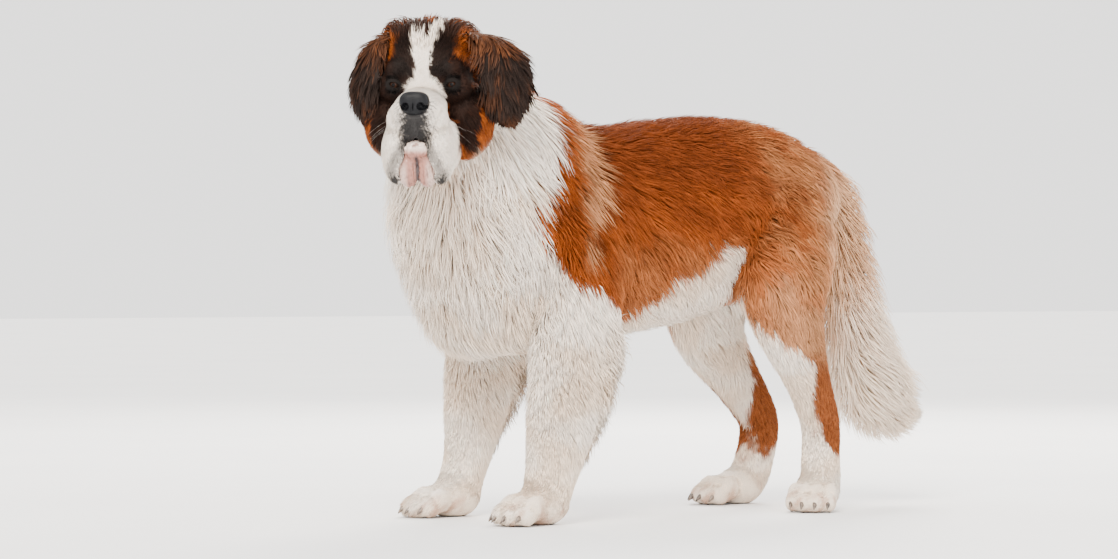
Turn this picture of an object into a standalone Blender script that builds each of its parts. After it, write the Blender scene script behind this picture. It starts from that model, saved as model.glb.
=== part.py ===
"""A life-size, long-haired Saint Bernard, standing square with its head turned to its left.

Metres, +Z up. The dog faces -X and its left side faces -Y. The floor is z = 0.
The trunk, neck, legs and tail are lofted from stations along each limb, melted into one smooth
skin, and then parted into named nodes. The head is built in a frame of its own, with +X from
between the eyes towards the nose and +Y to the dog's left, and is then turned and set on the neck.
"""
import math

import bmesh
import bpy
import numpy as np
from mathutils import Matrix, Vector
from mathutils.bvhtree import BVHTree

# Driving sizes of the dog
GAP = 0.0003                    # between pieces that touch
FORE_TRACK = 0.140              # from the midline to a forefoot
HIND_TRACK = 0.130
ELBOW_HEIGHT = 0.372
WRIST_HEIGHT = 0.125
HOCK_HEIGHT = 0.165
PAW_WIDTH = 0.104
CORE_SHARE = 0.45               # how far into the coat the smooth core under the locks reaches
LOCK_FLATNESS = 0.12            # a lock's thickness over its width
# Along a lock: how far, its share of the full width, and how high between the core and the tips
LOCK_STEPS = ((0.0, 0.80, None), (0.44, 1.00, 0.60), (1.0, 0.0, 1.0))
LOCK_RISE = 0.010               # of a lock's tip over the ears and cheeks
LOCK_CLEARANCE = 0.0006         # kept by a lock from the other nodes
LOCK_FLOOR = 0.004              # lowest that a lock hangs
LOCK_JUMP = 0.70                # of a lock's length, more than any step along it
LOCK_BEND = math.radians(42)    # between a lock's two steps, and of either off its own line
THINNED = 0.87                  # of a node's triangles, kept once its locks are joined to it
EYE_MIDDLE = Vector((-0.560, -0.150, 0.778))    # between the two eyes
HEAD_TURN = math.radians(48)    # to the dog's left, away from straight ahead
HEAD_RAISE = math.radians(-3)
EYE_APART = 0.050               # from the middle of the face to an eye's centre
EYE_RADIUS = 0.0125
NOSE_CENTRE = Vector((0.098, 0.0, -0.033))
BODY_PLACE = Vector((-0.0125, 0.0255, 0.0))      # sets the origin under the middle of the whole

# Materials: name, colour and roughness
COATS = {
    "coat_white": ((0.78, 0.74, 0.70), 0.85),
    "coat_red": ((0.42, 0.15, 0.05), 0.85),
    "coat_tan": ((0.60, 0.42, 0.27), 0.85),
    "coat_dark": ((0.06, 0.04, 0.03), 0.85),
    "nose_leather": ((0.025, 0.027, 0.032), 0.45),
    "lip_skin": ((0.50, 0.30, 0.28), 0.50),
    "eye_glass": ((0.03, 0.015, 0.010), 0.08),
}

# Trunk stations out to the tips of the coat: x, top, bottom, half width, and the coat's depth
TRUNK = (
    (-0.440, 0.600, 0.440, 0.075, 0.045),
    (-0.390, 0.655, 0.370, 0.130, 0.045),
    (-0.320, 0.700, 0.325, 0.165, 0.042),
    (-0.230, 0.728, 0.312, 0.182, 0.040),
    (-0.130, 0.728, 0.322, 0.186, 0.038),
    (-0.030, 0.733, 0.334, 0.182, 0.036),
    (0.070, 0.746, 0.350, 0.174, 0.036),
    (0.170, 0.755, 0.380, 0.166, 0.036),
    (0.270, 0.750, 0.418, 0.158, 0.038),
    (0.350, 0.728, 0.458, 0.144, 0.040),
    (0.410, 0.690, 0.508, 0.112, 0.040),
    (0.446, 0.645, 0.558, 0.062, 0.035),
)

# Limbs from their root: a point, half depth in the limb's plane, half width, and the coat's depth
NECK = (
    ((-0.225, 0.000, 0.560), 0.175, 0.168, 0.045),
    ((-0.290, 0.000, 0.625), 0.178, 0.166, 0.050),
    ((-0.355, -0.006, 0.690), 0.146, 0.150, 0.050),
    ((-0.410, -0.020, 0.745), 0.116, 0.124, 0.042),
    ((-0.455, -0.040, 0.785), 0.075, 0.085, 0.025),
)
RUFF = (
    ((-0.385, -0.012, 0.730), 0.120, 0.130, 0.045),
    ((-0.358, -0.006, 0.668), 0.165, 0.165, 0.055),
    ((-0.328, 0.000, 0.598), 0.192, 0.186, 0.060),
    ((-0.304, 0.000, 0.528), 0.192, 0.195, 0.060),
    ((-0.294, 0.000, 0.448), 0.172, 0.190, 0.058),
    ((-0.280, 0.000, 0.390), 0.158, 0.172, 0.052),
    ((-0.262, 0.000, 0.343), 0.125, 0.140, 0.045),
    ((-0.255, 0.000, 0.312), 0.060, 0.080, 0.025),
)
FORELEG_LEFT = (
    ((-0.225, -0.100, 0.545), 0.110, 0.072, 0.030),
    ((-0.222, -0.124, 0.450), 0.100, 0.070, 0.030),
    ((-0.222, -0.136, ELBOW_HEIGHT), 0.094, 0.064, 0.028),
    ((-0.240, -FORE_TRACK, 0.288), 0.088, 0.055, 0.027),
    ((-0.256, -FORE_TRACK, 0.205), 0.078, 0.050, 0.022),
    ((-0.272, -FORE_TRACK, WRIST_HEIGHT), 0.060, 0.048, 0.012),
    ((-0.284, -FORE_TRACK, 0.080), 0.050, 0.044, 0.009),
    ((-0.296, -FORE_TRACK, 0.042), 0.046, 0.044, 0.008),
)
FORELEG_RIGHT = (
    ((-0.225, 0.100, 0.545), 0.110, 0.072, 0.030),
    ((-0.222, 0.124, 0.450), 0.100, 0.070, 0.030),
    ((-0.228, 0.134, ELBOW_HEIGHT), 0.094, 0.062, 0.028),
    ((-0.240, FORE_TRACK, 0.288), 0.086, 0.052, 0.027),
    ((-0.258, FORE_TRACK, 0.205), 0.070, 0.046, 0.020),
    ((-0.272, FORE_TRACK, WRIST_HEIGHT), 0.050, 0.043, 0.010),
    ((-0.286, FORE_TRACK, 0.080), 0.044, 0.041, 0.008),
    ((-0.300, FORE_TRACK, 0.042), 0.045, 0.043, 0.008),
)
HINDLEG_LEFT = (
    ((0.285, -0.075, 0.580), 0.130, 0.085, 0.036),
    ((0.272, -0.105, 0.490), 0.124, 0.082, 0.036),
    ((0.248, -0.140, 0.405), 0.094, 0.074, 0.030),
    ((0.262, -0.156, 0.325), 0.066, 0.054, 0.020),
    ((0.308, -0.142, 0.245), 0.046, 0.042, 0.014),
    ((0.352, -0.124, HOCK_HEIGHT), 0.042, 0.034, 0.010),
    ((0.356, -0.120, 0.105), 0.040, 0.035, 0.008),
    ((0.352, -0.124, 0.042), 0.042, 0.041, 0.008),
)
HINDLEG_RIGHT = (
    ((0.285, 0.075, 0.580), 0.130, 0.085, 0.036),
    ((0.276, 0.100, 0.490), 0.128, 0.080, 0.036),
    ((0.268, 0.124, 0.405), 0.100, 0.070, 0.030),
    ((0.292, 0.138, 0.325), 0.078, 0.056, 0.024),
    ((0.352, 0.138, 0.245), 0.054, 0.044, 0.017),
    ((0.404, 0.132, HOCK_HEIGHT), 0.044, 0.035, 0.011),
    ((0.398, HIND_TRACK, 0.105), 0.042, 0.035, 0.009),
    ((0.376, HIND_TRACK, 0.042), 0.042, 0.040, 0.008),
)
TAIL = (
    ((0.400, 0.000, 0.650), 0.050, 0.046, 0.026),
    ((0.452, 0.000, 0.622), 0.056, 0.048, 0.030),
    ((0.484, -0.002, 0.550), 0.054, 0.052, 0.032),
    ((0.502, -0.004, 0.460), 0.056, 0.056, 0.036),
    ((0.519, -0.008, 0.375), 0.062, 0.060, 0.040),
    ((0.542, -0.012, 0.300), 0.075, 0.065, 0.048),
    ((0.568, -0.014, 0.234), 0.084, 0.066, 0.052),
    ((0.602, -0.016, 0.194), 0.068, 0.055, 0.042),
    ((0.650, -0.018, 0.178), 0.034, 0.030, 0.020),
    ((0.684, -0.020, 0.176), 0.010, 0.010, 0.004),
)

# Paws: name, leg, height of its cut, middle on the floor, and degrees that the toes turn left
PAWS = (
    ("foreleg_left_paw", FORELEG_LEFT, 0.072, (-0.322, -FORE_TRACK), 8),
    ("foreleg_right_paw", FORELEG_RIGHT, 0.072, (-0.330, FORE_TRACK), -4),
    ("hindleg_left_foot", HINDLEG_LEFT, 0.138, (0.330, -0.134), 42),
    ("hindleg_right_foot", HINDLEG_RIGHT, 0.138, (0.330, HIND_TRACK), -2),
)
TOES = ((-0.75, 0.018), (-0.26, 0.032), (0.26, 0.032), (0.75, 0.018))     # across, and reach ahead

# Ellipsoids of the head, in its own frame: centre, radii, and whether the other side has one too
HEAD_BLOBS = (
    ((-0.078, 0.000, 0.014), (0.108, 0.094, 0.100), False),     # braincase
    ((-0.072, 0.044, 0.066), (0.064, 0.048, 0.050), True),      # thick hair over the ears
    ((-0.120, 0.000, -0.035), (0.075, 0.098, 0.105), False),    # nape and throat
    ((-0.014, 0.040, 0.026), (0.032, 0.032, 0.024), True),      # brows
    ((-0.030, 0.048, -0.006), (0.042, 0.043, 0.036), True),     # round the eyes
    ((0.030, 0.000, -0.044), (0.074, 0.049, 0.041), False),     # bridge of the muzzle
    ((0.064, 0.000, -0.062), (0.044, 0.057, 0.047), False),     # its blunt front
    ((0.056, 0.036, -0.118), (0.044, 0.031, 0.058), True),      # hanging lips in front
    ((0.014, 0.044, -0.106), (0.050, 0.027, 0.050), True),      # and towards the cheeks
    ((-0.055, 0.066, -0.062), (0.064, 0.056, 0.078), True),     # cheeks
)
JAW_BLOBS = (
    ((0.020, 0.000, -0.122), (0.070, 0.030, 0.024), False),     # jaw bone and its skin
    ((0.074, 0.000, -0.114), (0.022, 0.026, 0.019), False),     # chin
    ((0.066, 0.0165, -0.141), (0.019, 0.021, 0.037), True),      # hanging lower lips
)

# Ears hung from the skull, in the head's frame: a point, half width, half thickness
EAR_LEFT = (
    ((-0.050, 0.066, 0.092), 0.019, 0.012),
    ((-0.050, 0.098, 0.084), 0.040, 0.014),
    ((-0.046, 0.128, 0.052), 0.055, 0.016),
    ((-0.042, 0.136, 0.006), 0.058, 0.017),
    ((-0.040, 0.138, -0.034), 0.046, 0.015),
    ((-0.040, 0.143, -0.068), 0.018, 0.009),
)
EAR_RIGHT = (
    ((-0.052, -0.060, 0.088), 0.019, 0.012),
    ((-0.052, -0.085, 0.072), 0.038, 0.014),
    ((-0.050, -0.100, 0.040), 0.048, 0.016),
    ((-0.046, -0.107, 0.002), 0.050, 0.017),
    ((-0.044, -0.106, -0.034), 0.040, 0.015),
    ((-0.042, -0.104, -0.066), 0.016, 0.009),
)
EAR_SPREADS = {"ear_left": Vector((-0.66, 0.75, 0.0)), "ear_right": Vector((-0.80, -0.60, 0.0))}

# The lie of the coat: a place on the dog, which way hair lies there, and if the other side has it
LIE = (
    ((-0.300, 0.000, 0.800), (0.75, 0.00, -0.55), False),   # nape
    ((-0.150, 0.000, 0.745), (0.95, 0.00, -0.20), False),   # withers
    ((0.100, 0.000, 0.750), (1.00, 0.00, -0.05), False),    # back
    ((0.350, 0.000, 0.730), (0.90, 0.00, -0.40), False),    # croup
    ((-0.320, 0.150, 0.700), (0.35, 0.00, -0.90), True),    # side of the neck
    ((-0.510, 0.000, 0.560), (0.10, 0.00, -1.00), False),   # front of the chest
    ((-0.420, 0.140, 0.550), (0.15, 0.25, -1.00), True),    # ruff
    ((-0.360, 0.050, 0.330), (0.40, 0.10, -0.90), True),    # between the forelegs
    ((-0.250, 0.190, 0.600), (0.45, 0.00, -0.90), True),    # shoulder
    ((-0.250, 0.180, 0.440), (0.25, 0.00, -0.95), True),    # upper arm
    ((-0.050, 0.180, 0.640), (0.80, 0.00, -0.50), True),    # ribs
    ((0.120, 0.170, 0.620), (0.80, 0.00, -0.55), True),     # flank
    ((0.000, 0.160, 0.430), (0.60, 0.00, -0.80), True),     # low on the ribs
    ((0.060, 0.000, 0.350), (0.80, 0.00, -0.50), False),    # belly
    ((0.280, 0.160, 0.620), (0.60, 0.00, -0.80), True),     # haunch
    ((0.230, 0.160, 0.430), (0.35, 0.00, -0.95), True),     # thigh
    ((0.390, 0.110, 0.480), (0.40, 0.00, -0.90), True),     # breeches
    ((0.320, 0.140, 0.280), (0.50, 0.00, -0.90), True),     # shank
    ((-0.280, 0.140, 0.280), (0.10, 0.00, -1.00), True),    # front of the forearm
    ((-0.160, 0.140, 0.300), (0.55, 0.00, -0.80), True),    # feathering behind it
    ((0.480, 0.000, 0.620), (0.45, 0.00, -0.90), False),    # root of the tail
    ((0.510, 0.000, 0.450), (0.20, 0.00, -1.00), False),    # its hanging length
    ((0.560, 0.000, 0.300), (0.35, 0.00, -0.90), False),
    ((0.620, 0.000, 0.180), (0.85, 0.00, -0.45), False),    # its upturned end
)

# Locks of the coat by region: spacing of the roots, length, width, and how deep they are rooted
LOCKS = {
    "ruff": (0.064, 0.150, 0.068, 0.012),
    "trunk": (0.074, 0.160, 0.084, 0.012),
    "breeches": (0.064, 0.130, 0.062, 0.012),
    "feathering": (0.048, 0.095, 0.042, 0.010),
    "plume": (0.058, 0.150, 0.056, 0.010),
    "cheek": (0.044, 0.075, 0.044, 0.008),
    "ear": (0.038, 0.058, 0.038, 0.004),
}

# Where a lock is tried when it would touch another node: along the lie and across it
TRIES = [(along, across) for across in (0.0, 0.018, -0.018)
         for along in (0.0, -0.02, 0.02, -0.04, 0.04)]


# Meshes and modifiers

def new_object(name, mesh):
    """Links a mesh as an object of that name."""
    obj = bpy.data.objects.new(name, mesh)
    bpy.context.scene.collection.objects.link(obj)
    return obj


def mesh_of(name, bm):
    """Turns a bmesh into a mesh with its faces pointing out, and frees it."""
    bmesh.ops.recalc_face_normals(bm, faces=bm.faces)
    mesh = bpy.data.meshes.new(name)
    bm.to_mesh(mesh)
    bm.free()
    return mesh


def settle(obj):
    """Applies an object's modifiers to its mesh."""
    graph = bpy.context.evaluated_depsgraph_get()
    mesh = bpy.data.meshes.new_from_object(obj.evaluated_get(graph))
    obj.modifiers.clear()
    obj.data = mesh
    return obj


def islands_of(bm):
    """The connected groups of a mesh's faces."""
    left = set(bm.faces)
    islands = []
    while left:
        stack = [left.pop()]
        island = []
        while stack:
            face = stack.pop()
            island.append(face)
            for edge in face.edges:
                fresh = [other for other in edge.link_faces if other in left]
                left.difference_update(fresh)
                stack.extend(fresh)
        islands.append(island)
    return islands


def keep_largest(obj):
    """Keeps only the largest closed surface of a mesh, in triangles."""
    bm = bmesh.new()
    bm.from_mesh(obj.data)
    islands = islands_of(bm)
    islands.sort(key=lambda faces: sum(face.calc_area() for face in faces))
    spare = [face for island in islands[:-1] for face in island]
    bmesh.ops.delete(bm, geom=spare, context="FACES")
    loose = [vert for vert in bm.verts if not vert.link_faces]
    bmesh.ops.delete(bm, geom=loose, context="VERTS")
    bmesh.ops.triangulate(bm, faces=bm.faces)
    bm.to_mesh(obj.data)
    bm.free()
    return obj


def combine(obj, other, operation):
    """Joins or cuts obj with other, applies it and removes other."""
    modifier = obj.modifiers.new("Boolean", "BOOLEAN")
    modifier.operation = operation
    modifier.solver = "EXACT"
    modifier.object = other
    settle(obj)
    bpy.data.objects.remove(other)
    return keep_largest(obj)


def fuse_group(node, group):
    """Joins every object of a collection to a node in one union, and removes them."""
    union = node.modifiers.new("Fuse", "BOOLEAN")
    union.operation = "UNION"
    union.operand_type = "COLLECTION"
    union.collection = group
    union.solver = "EXACT"
    settle(node)
    for obj in list(group.objects):
        bpy.data.objects.remove(obj)
    bpy.data.collections.remove(group)
    return keep_largest(node)


def grown(obj, by=GAP):
    """A copy of a piece with its skin pushed out, to cut a neighbour clear of it."""
    copy = new_object(obj.name + "_grown", obj.data.copy())
    normals = [vert.normal.copy() for vert in copy.data.vertices]
    for vert, normal in zip(copy.data.vertices, normals):
        vert.co += normal * by
    return copy


def clear_of(obj, *others):
    """Cuts obj clear of its neighbours by the gap."""
    for other in others:
        combine(obj, grown(other), "DIFFERENCE")
    return obj


def melt(name, bm, voxel, rounds, triangles):
    """Melts overlapping shapes into one smooth closed skin of about this many triangles."""
    obj = new_object(name, mesh_of(name, bm))
    remesh = obj.modifiers.new("Melt", "REMESH")
    remesh.mode = "VOXEL"
    remesh.voxel_size = voxel
    soften = obj.modifiers.new("Soften", "SMOOTH")
    soften.iterations = rounds
    settle(obj)
    count = sum(len(face.vertices) - 2 for face in obj.data.polygons)
    thin = obj.modifiers.new("Thin", "DECIMATE")
    thin.ratio = min(1.0, triangles / count)
    settle(obj)
    return keep_largest(obj)


def box(low, high, turn=Matrix(), grow=0.0):
    """A box between two corners of a turned frame, made larger all round by grow."""
    bm = bmesh.new()
    bmesh.ops.create_cube(bm, size=1.0)
    size = [top - bottom + 2 * grow for bottom, top in zip(low, high)]
    middle = [(top + bottom) / 2 for bottom, top in zip(low, high)]
    place = turn @ Matrix.Translation(middle) @ Matrix.Diagonal((*size, 1.0))
    bmesh.ops.transform(bm, matrix=place, verts=bm.verts)
    return new_object("box", mesh_of("box", bm))


def part_off(body, name, low, high, turn=Matrix()):
    """Cuts what lies inside a box off the body as a node of its own, the gap away."""
    piece = new_object(name, body.data.copy())
    combine(piece, box(low, high, turn, -GAP / 2), "INTERSECT")
    combine(body, box(low, high, turn, GAP / 2), "DIFFERENCE")
    return piece


# Shapes that the flesh is lofted and blown from

def blob(bm, centre, radii, turn=Matrix(), sides=24):
    """Adds an ellipsoid, with its radii along X, Y and Z before it is turned."""
    made = bmesh.ops.create_uvsphere(bm, u_segments=sides, v_segments=sides * 2 // 3, radius=1.0)
    place = Matrix.Translation(centre) @ turn @ Matrix.Diagonal((*radii, 1.0))
    bmesh.ops.transform(bm, matrix=place, verts=made["verts"])


def blobs(bm, table):
    """Adds a table's ellipsoids, each on both sides of the face where it says so."""
    for (x, y, z), radii, both in table:
        for side in (1, -1) if both else (1,):
            blob(bm, Vector((x, side * y, z)), radii)


def smooth_run(rows, steps):
    """Rows of numbers on a smooth curve through the given ones, with steps to a span."""
    rows = np.asarray(rows, float)
    padded = np.vstack([2 * rows[0] - rows[1], rows, 2 * rows[-1] - rows[-2]])
    run = []
    for i in range(1, len(padded) - 2):
        before, start, end, after = padded[i - 1:i + 3]
        for t in np.arange(steps) / steps:
            run.append(0.5 * (2 * start + (end - before) * t
                              + (2 * before - 5 * start + 4 * end - after) * t ** 2
                              + (3 * start - before - 3 * end + after) * t ** 3))
    return np.array(run + [padded[-2]])


def skin_over(bm, rings):
    """Joins rings of points into a closed tube."""
    rings = [[bm.verts.new(point) for point in ring] for ring in rings]
    for low, high in zip(rings, rings[1:]):
        for k in range(len(low)):
            bm.faces.new((low[k], low[k - 1], high[k - 1], high[k]))
    bm.faces.new(rings[0])
    bm.faces.new(reversed(rings[-1]))


def loft(bm, run, sides=24):
    """Adds a tube of ellipses along rows of x, y, z, half depth and half width."""
    centres = [Vector(row[:3]) for row in run]
    rings = []
    for i, (centre, row) in enumerate(zip(centres, run)):
        ahead = centres[min(i + 1, len(centres) - 1)] - centres[max(i - 1, 0)]
        depth_axis = Vector((0.0, 1.0, 0.0)).cross(ahead).normalized()
        width_axis = ahead.normalized().cross(depth_axis)
        turns = [math.tau * k / sides for k in range(sides)]
        rings.append([centre + depth_axis * row[3] * math.cos(turn)
                      + width_axis * row[4] * math.sin(turn) for turn in turns])
    skin_over(bm, rings)


def limb(bm, stations, share):
    """Adds a limb through its stations, out to this share of its coat."""
    rows = [(*point, depth - coat * (1 - share), width - coat * (1 - share))
            for point, depth, width, coat in stations]
    loft(bm, smooth_run(rows, 4))


def trunk(bm, share):
    """Adds the trunk, whose rings stand upright along X, out to this share of its coat."""
    rows = [(x, 0.0, (top + bottom) / 2, (top - bottom) / 2 - coat * (1 - share),
             half - coat * (1 - share)) for x, top, bottom, half, coat in TRUNK]
    loft(bm, smooth_run(rows, 3), sides=32)


def paw(bm, middle, toes_left):
    """Adds a paw: its pad and wrist side, and four arched toes in a fan."""
    turn = Matrix.Rotation(math.radians(toes_left), 4, "Z")
    place = Matrix.Translation((*middle, 0.0)) @ turn
    half = PAW_WIDTH / 2
    blob(bm, place @ Vector((0.020, 0.0, 0.032)), (0.054, half * 0.88, 0.036), turn)
    for across, reach in TOES:
        toe = place @ Vector((-0.018 - reach, across * half * 0.86, 0.025))
        blob(bm, toe, (0.034, 0.0165, 0.030), turn)


# The parts of the dog

def make_body(share, triangles):
    """The body without its head and paws, in one skin, out to this share of the coat."""
    bm = bmesh.new()
    trunk(bm, share)
    for stations in (NECK, RUFF, FORELEG_LEFT, FORELEG_RIGHT, HINDLEG_LEFT, HINDLEG_RIGHT, TAIL):
        limb(bm, stations, share)
    body = melt("body", bm, 0.009, 10, triangles)
    for _, stations, low, (x, y), _ in PAWS:
        ankle = box((x - 0.15, y - 0.08, -0.1), (x + 0.15, y + 0.08, low + GAP / 2))
        combine(body, ankle, "DIFFERENCE")
    return body


def make_paw(name, stations, top, middle, toes_left):
    """A paw with the foot above it: pad, four toes in a fan with their claws, flat on the floor."""
    bm = bmesh.new()
    limb(bm, stations, CORE_SHARE)
    paw(bm, middle, toes_left)
    foot = melt(name, bm, 0.0055, 4, 260 if top < 0.1 else 330)
    combine(foot, box((-1.0, -1.0, top - GAP / 2), (1.0, 1.0, 1.0)), "DIFFERENCE")
    group = bpy.data.collections.new("claws")
    turn = Matrix.Rotation(math.radians(toes_left), 4, "Z")
    place = Matrix.Translation((*middle, 0.0)) @ turn
    for across, reach in TOES:
        bm = bmesh.new()
        bmesh.ops.create_cone(bm, cap_ends=True, segments=5, radius1=0.0055, radius2=0.001,
                              depth=0.030)
        tilt = Matrix.Rotation(math.radians(-118), 4, "Y")
        spot = Matrix.Translation((-0.046 - reach, across * PAW_WIDTH * 0.43, 0.018))
        bmesh.ops.transform(bm, matrix=place @ spot @ tilt, verts=bm.verts)
        group.objects.link(bpy.data.objects.new("claw", mesh_of("claw", bm)))
    fuse_group(foot, group)
    return combine(foot, box((-1.0, -1.0, -0.2), (1.0, 1.0, 0.0)), "DIFFERENCE")


def part_body(body):
    """Parts the body into its nodes, from the paws up."""
    nodes = []
    for side, word in ((-1, "left"), (1, "right")):
        inner, outer = sorted((side * 0.066, side * 0.40))
        nodes.append(part_off(body, f"foreleg_{word}_forearm", (-0.50, inner, 0.0),
                              (-0.10, outer, 0.332)))
        inner, outer = sorted((side * 0.036, side * 0.40))
        nodes.append(part_off(body, f"hindleg_{word}_shank", (0.10, inner, 0.0), (0.46, outer, 0.318)))
        nodes.append(part_off(body, f"hindleg_{word}_thigh", (0.10, inner, 0.0), (0.46, outer, 0.475)))
    nodes.append(part_off(body, "tail_tip", (0.455, -0.3, 0.0), (0.90, 0.3, 0.300)))
    nodes.append(part_off(body, "tail_middle", (0.455, -0.3, 0.0), (0.90, 0.3, 0.470)))
    nodes.append(part_off(body, "tail_base", (0.448, -0.3, 0.0), (0.90, 0.3, 0.90)))
    nodes.append(part_off(body, "hindquarters", (0.150, -0.3, 0.0), (0.90, 0.3, 0.90)))
    nodes.append(part_off(body, "barrel", (-0.110, -0.3, 0.0), (0.90, 0.3, 0.90)))
    slope = Matrix.Translation((-0.150, 0.0, 0.770)) @ Matrix.Rotation(math.radians(50), 4, "Y")
    nodes.append(part_off(body, "neck", (-1.0, -0.4, 0.0), (1.0, 0.4, 1.0),
                          slope @ Matrix.Rotation(math.radians(-90), 4, "Y")))
    body.name = "chest"
    nodes.append(body)
    return {node.name: node for node in nodes}


def region(point, normal, name):
    """Which locks grow at a place on a node, or None where the hair is short."""
    if name in EAR_SPREADS or name == "head":
        x, y, z = head_place().inverted() @ point
        face_out = (head_place().inverted().to_3x3() @ normal).y * (1 if y > 0 else -1)
        if name == "head":
            cheek = -0.14 < x < -0.055 and -0.12 < z < 0.0 and abs(y) > 0.055
            return "cheek" if cheek and face_out > 0.2 else None
        return "ear" if face_out > 0.1 and z < 0.065 else None
    x, y, z = point
    if x > 0.455:
        return "plume"
    if x < -0.08 and z < 0.345:
        return "feathering" if z > 0.125 and abs(y) > 0.08 and normal.x > 0.35 else None
    if x > 0.10 and z < 0.330:
        return "feathering" if z > 0.175 and normal.x > 0.30 else None
    if x > 0.30 and z < 0.58:
        return "breeches"
    if x < -0.27:
        return "ruff"
    return "trunk"


def lie_at(point, normal, name):
    """The way the hair lies at a place, along the skin."""
    total = Vector()
    if name in EAR_SPREADS or name == "head":
        turn = head_place().to_3x3()
        down = Vector((-0.7, 0.0, -0.8))
        if name in EAR_SPREADS:
            down = EAR_SPREADS[name] * 0.5 - Vector((0.0, 0.0, 1.0))
        total = turn @ down
        return (total - normal * total.dot(normal)).normalized()
    for (x, y, z), (dx, dy, dz), both in LIE:
        for side in (1, -1) if both else (1,):
            weight = 1.0 / ((point - Vector((x, side * y, z))).length_squared + 1e-4) ** 2
            total += Vector((dx, side * dy, dz)).normalized() * weight
    total -= normal * total.dot(normal)
    return total.normalized()


def lock_shape(point, normal, lie, size, core, outer, draw):
    """Rings of a flat lock, from its root in the core to its tip on the outer skin or at a rise."""
    _, length, width, depth = size
    length *= draw.uniform(0.85, 1.15)
    width *= draw.uniform(0.90, 1.12)
    bend = draw.uniform(-0.16, 0.16) * length
    side = normal.cross(lie)
    across = (normal + core.find_nearest(point + lie * length / 2)[1]).cross(lie).normalized()
    rings = []
    for t, spread, height in LOCK_STEPS:
        spot = point + lie * length * t + side * bend * t * t
        if t == 0.0:
            centre, out = point - lie * length * 0.06 - normal * depth, normal
        else:
            inner, out, _, _ = core.find_nearest(spot)
            edge = outer.find_nearest(spot)[0] if outer else inner + out * LOCK_RISE
            centre = inner.lerp(edge, height)
        if spread == 0.0:
            rings.append([centre])
            continue
        reach = across * width * spread / 2
        up = (out - across * out.dot(across)).normalized()
        ridge = up * width * LOCK_FLATNESS * (0.4 + 0.6 * spread)
        rings.append([centre - reach, centre + ridge, centre + reach])
    return rings


def lock_mesh(rings, swell=0.0):
    """Points and faces of a closed lock, swollen a little for testing what it would touch."""
    points = []
    for ring in rings:
        middle = sum(ring, Vector()) / len(ring)
        for point in ring:
            away = (point - middle).normalized() if len(ring) > 1 else Vector()
            points.append(point + away * swell)
    faces = [(0, 1, 2)]
    for r in range(len(rings) - 2):
        for k in range(3):
            a, b = 3 * r + k, 3 * r + (k + 1) % 3
            faces += [(a, a + 3, b + 3), (a, b + 3, b)]
    tip = len(points) - 1
    faces += [(tip - 3 + k, tip, tip - 3 + (k + 1) % 3) for k in range(3)]
    return points, faces


def scatter(nodes, draw):
    """Root places spread evenly over the nodes, as point, normal, node name and region."""
    found = []
    for name, node in sorted(nodes.items()):
        mesh = node.data
        areas = np.array([face.area for face in mesh.polygons])
        picks = draw.choice(len(areas), size=int(areas.sum() * 9000), p=areas / areas.sum())
        for pick in picks:
            face = mesh.polygons[pick]
            a, b, c = [mesh.vertices[i].co for i in face.vertices]
            u, v = sorted(draw.uniform(size=2))
            found.append((a * u + b * (v - u) + c * (1 - v), face.normal.copy(), name))
    roots = []
    for index in draw.permutation(len(found)):
        point, normal, name = found[index]
        kind = region(point, normal, name)
        if kind is None:
            continue
        spacing = LOCKS[kind][0]
        if all((point - other[0]).length > spacing for other in roots):
            roots.append((point, normal, name, kind))
    return sorted(roots, key=lambda root: root[0].x - root[0].z)


def tree_of(obj):
    """A piece's faces, for finding the nearest of them and what touches them."""
    mesh = obj.data
    return BVHTree.FromPolygons([v.co for v in mesh.vertices], [p.vertices for p in mesh.polygons])


def is_fair(rings, length):
    """Whether a lock runs on evenly, with no jump, no sharp bend and no step to its side."""
    middles = [sum(ring, Vector()) / len(ring) for ring in rings]
    steps = [after - before for before, after in zip(middles, middles[1:])]
    facing = [(ring[1] - ring[0]).cross(ring[0] - ring[2]) for ring in rings[:-1]]
    return (max(step.length for step in steps) < LOCK_JUMP * length
            and all(step.angle(face) < LOCK_BEND for step, face in zip(steps, facing))
            and all(step.angle(face) < LOCK_BEND for step, face in zip(steps, facing[1:])))


def grow_coat(nodes, others, core, outer):
    """Roots the locks in their nodes, bent clear of every other node, and fuses them."""
    draw = np.random.RandomState(5)
    solid = {name: tree_of(node) for name, node in {**nodes, **others}.items()}
    placed = {name: [] for name in nodes}
    for point, normal, name, kind in scatter(nodes, draw):
        lie = lie_at(point, normal, name)
        side = normal.cross(lie)
        on_head = kind in ("ear", "cheek")
        for along, across in TRIES:
            spot = point + lie * along + side * across
            spot, facing, _, _ = solid[name].find_nearest(spot)
            rings = lock_shape(spot, facing, lie_at(spot, facing, name), LOCKS[kind],
                               solid[name] if on_head else core, None if on_head else outer, draw)
            points, faces = lock_mesh(rings, LOCK_CLEARANCE)
            tree = BVHTree.FromPolygons(points, faces)
            hits = any(tree.overlap(other) for key, other in solid.items() if key != name)
            hits = hits or any(tree.overlap(other) for key, trees in placed.items() if key != name
                               for other, _ in trees)
            fair = is_fair(rings, LOCKS[kind][1])
            if fair and not hits and min(p.z for p in points) > LOCK_FLOOR:
                placed[name].append((tree, rings))
                break
    for name, locks in placed.items():
        fuse_locks(nodes[name], [rings for _, rings in locks])


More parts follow.
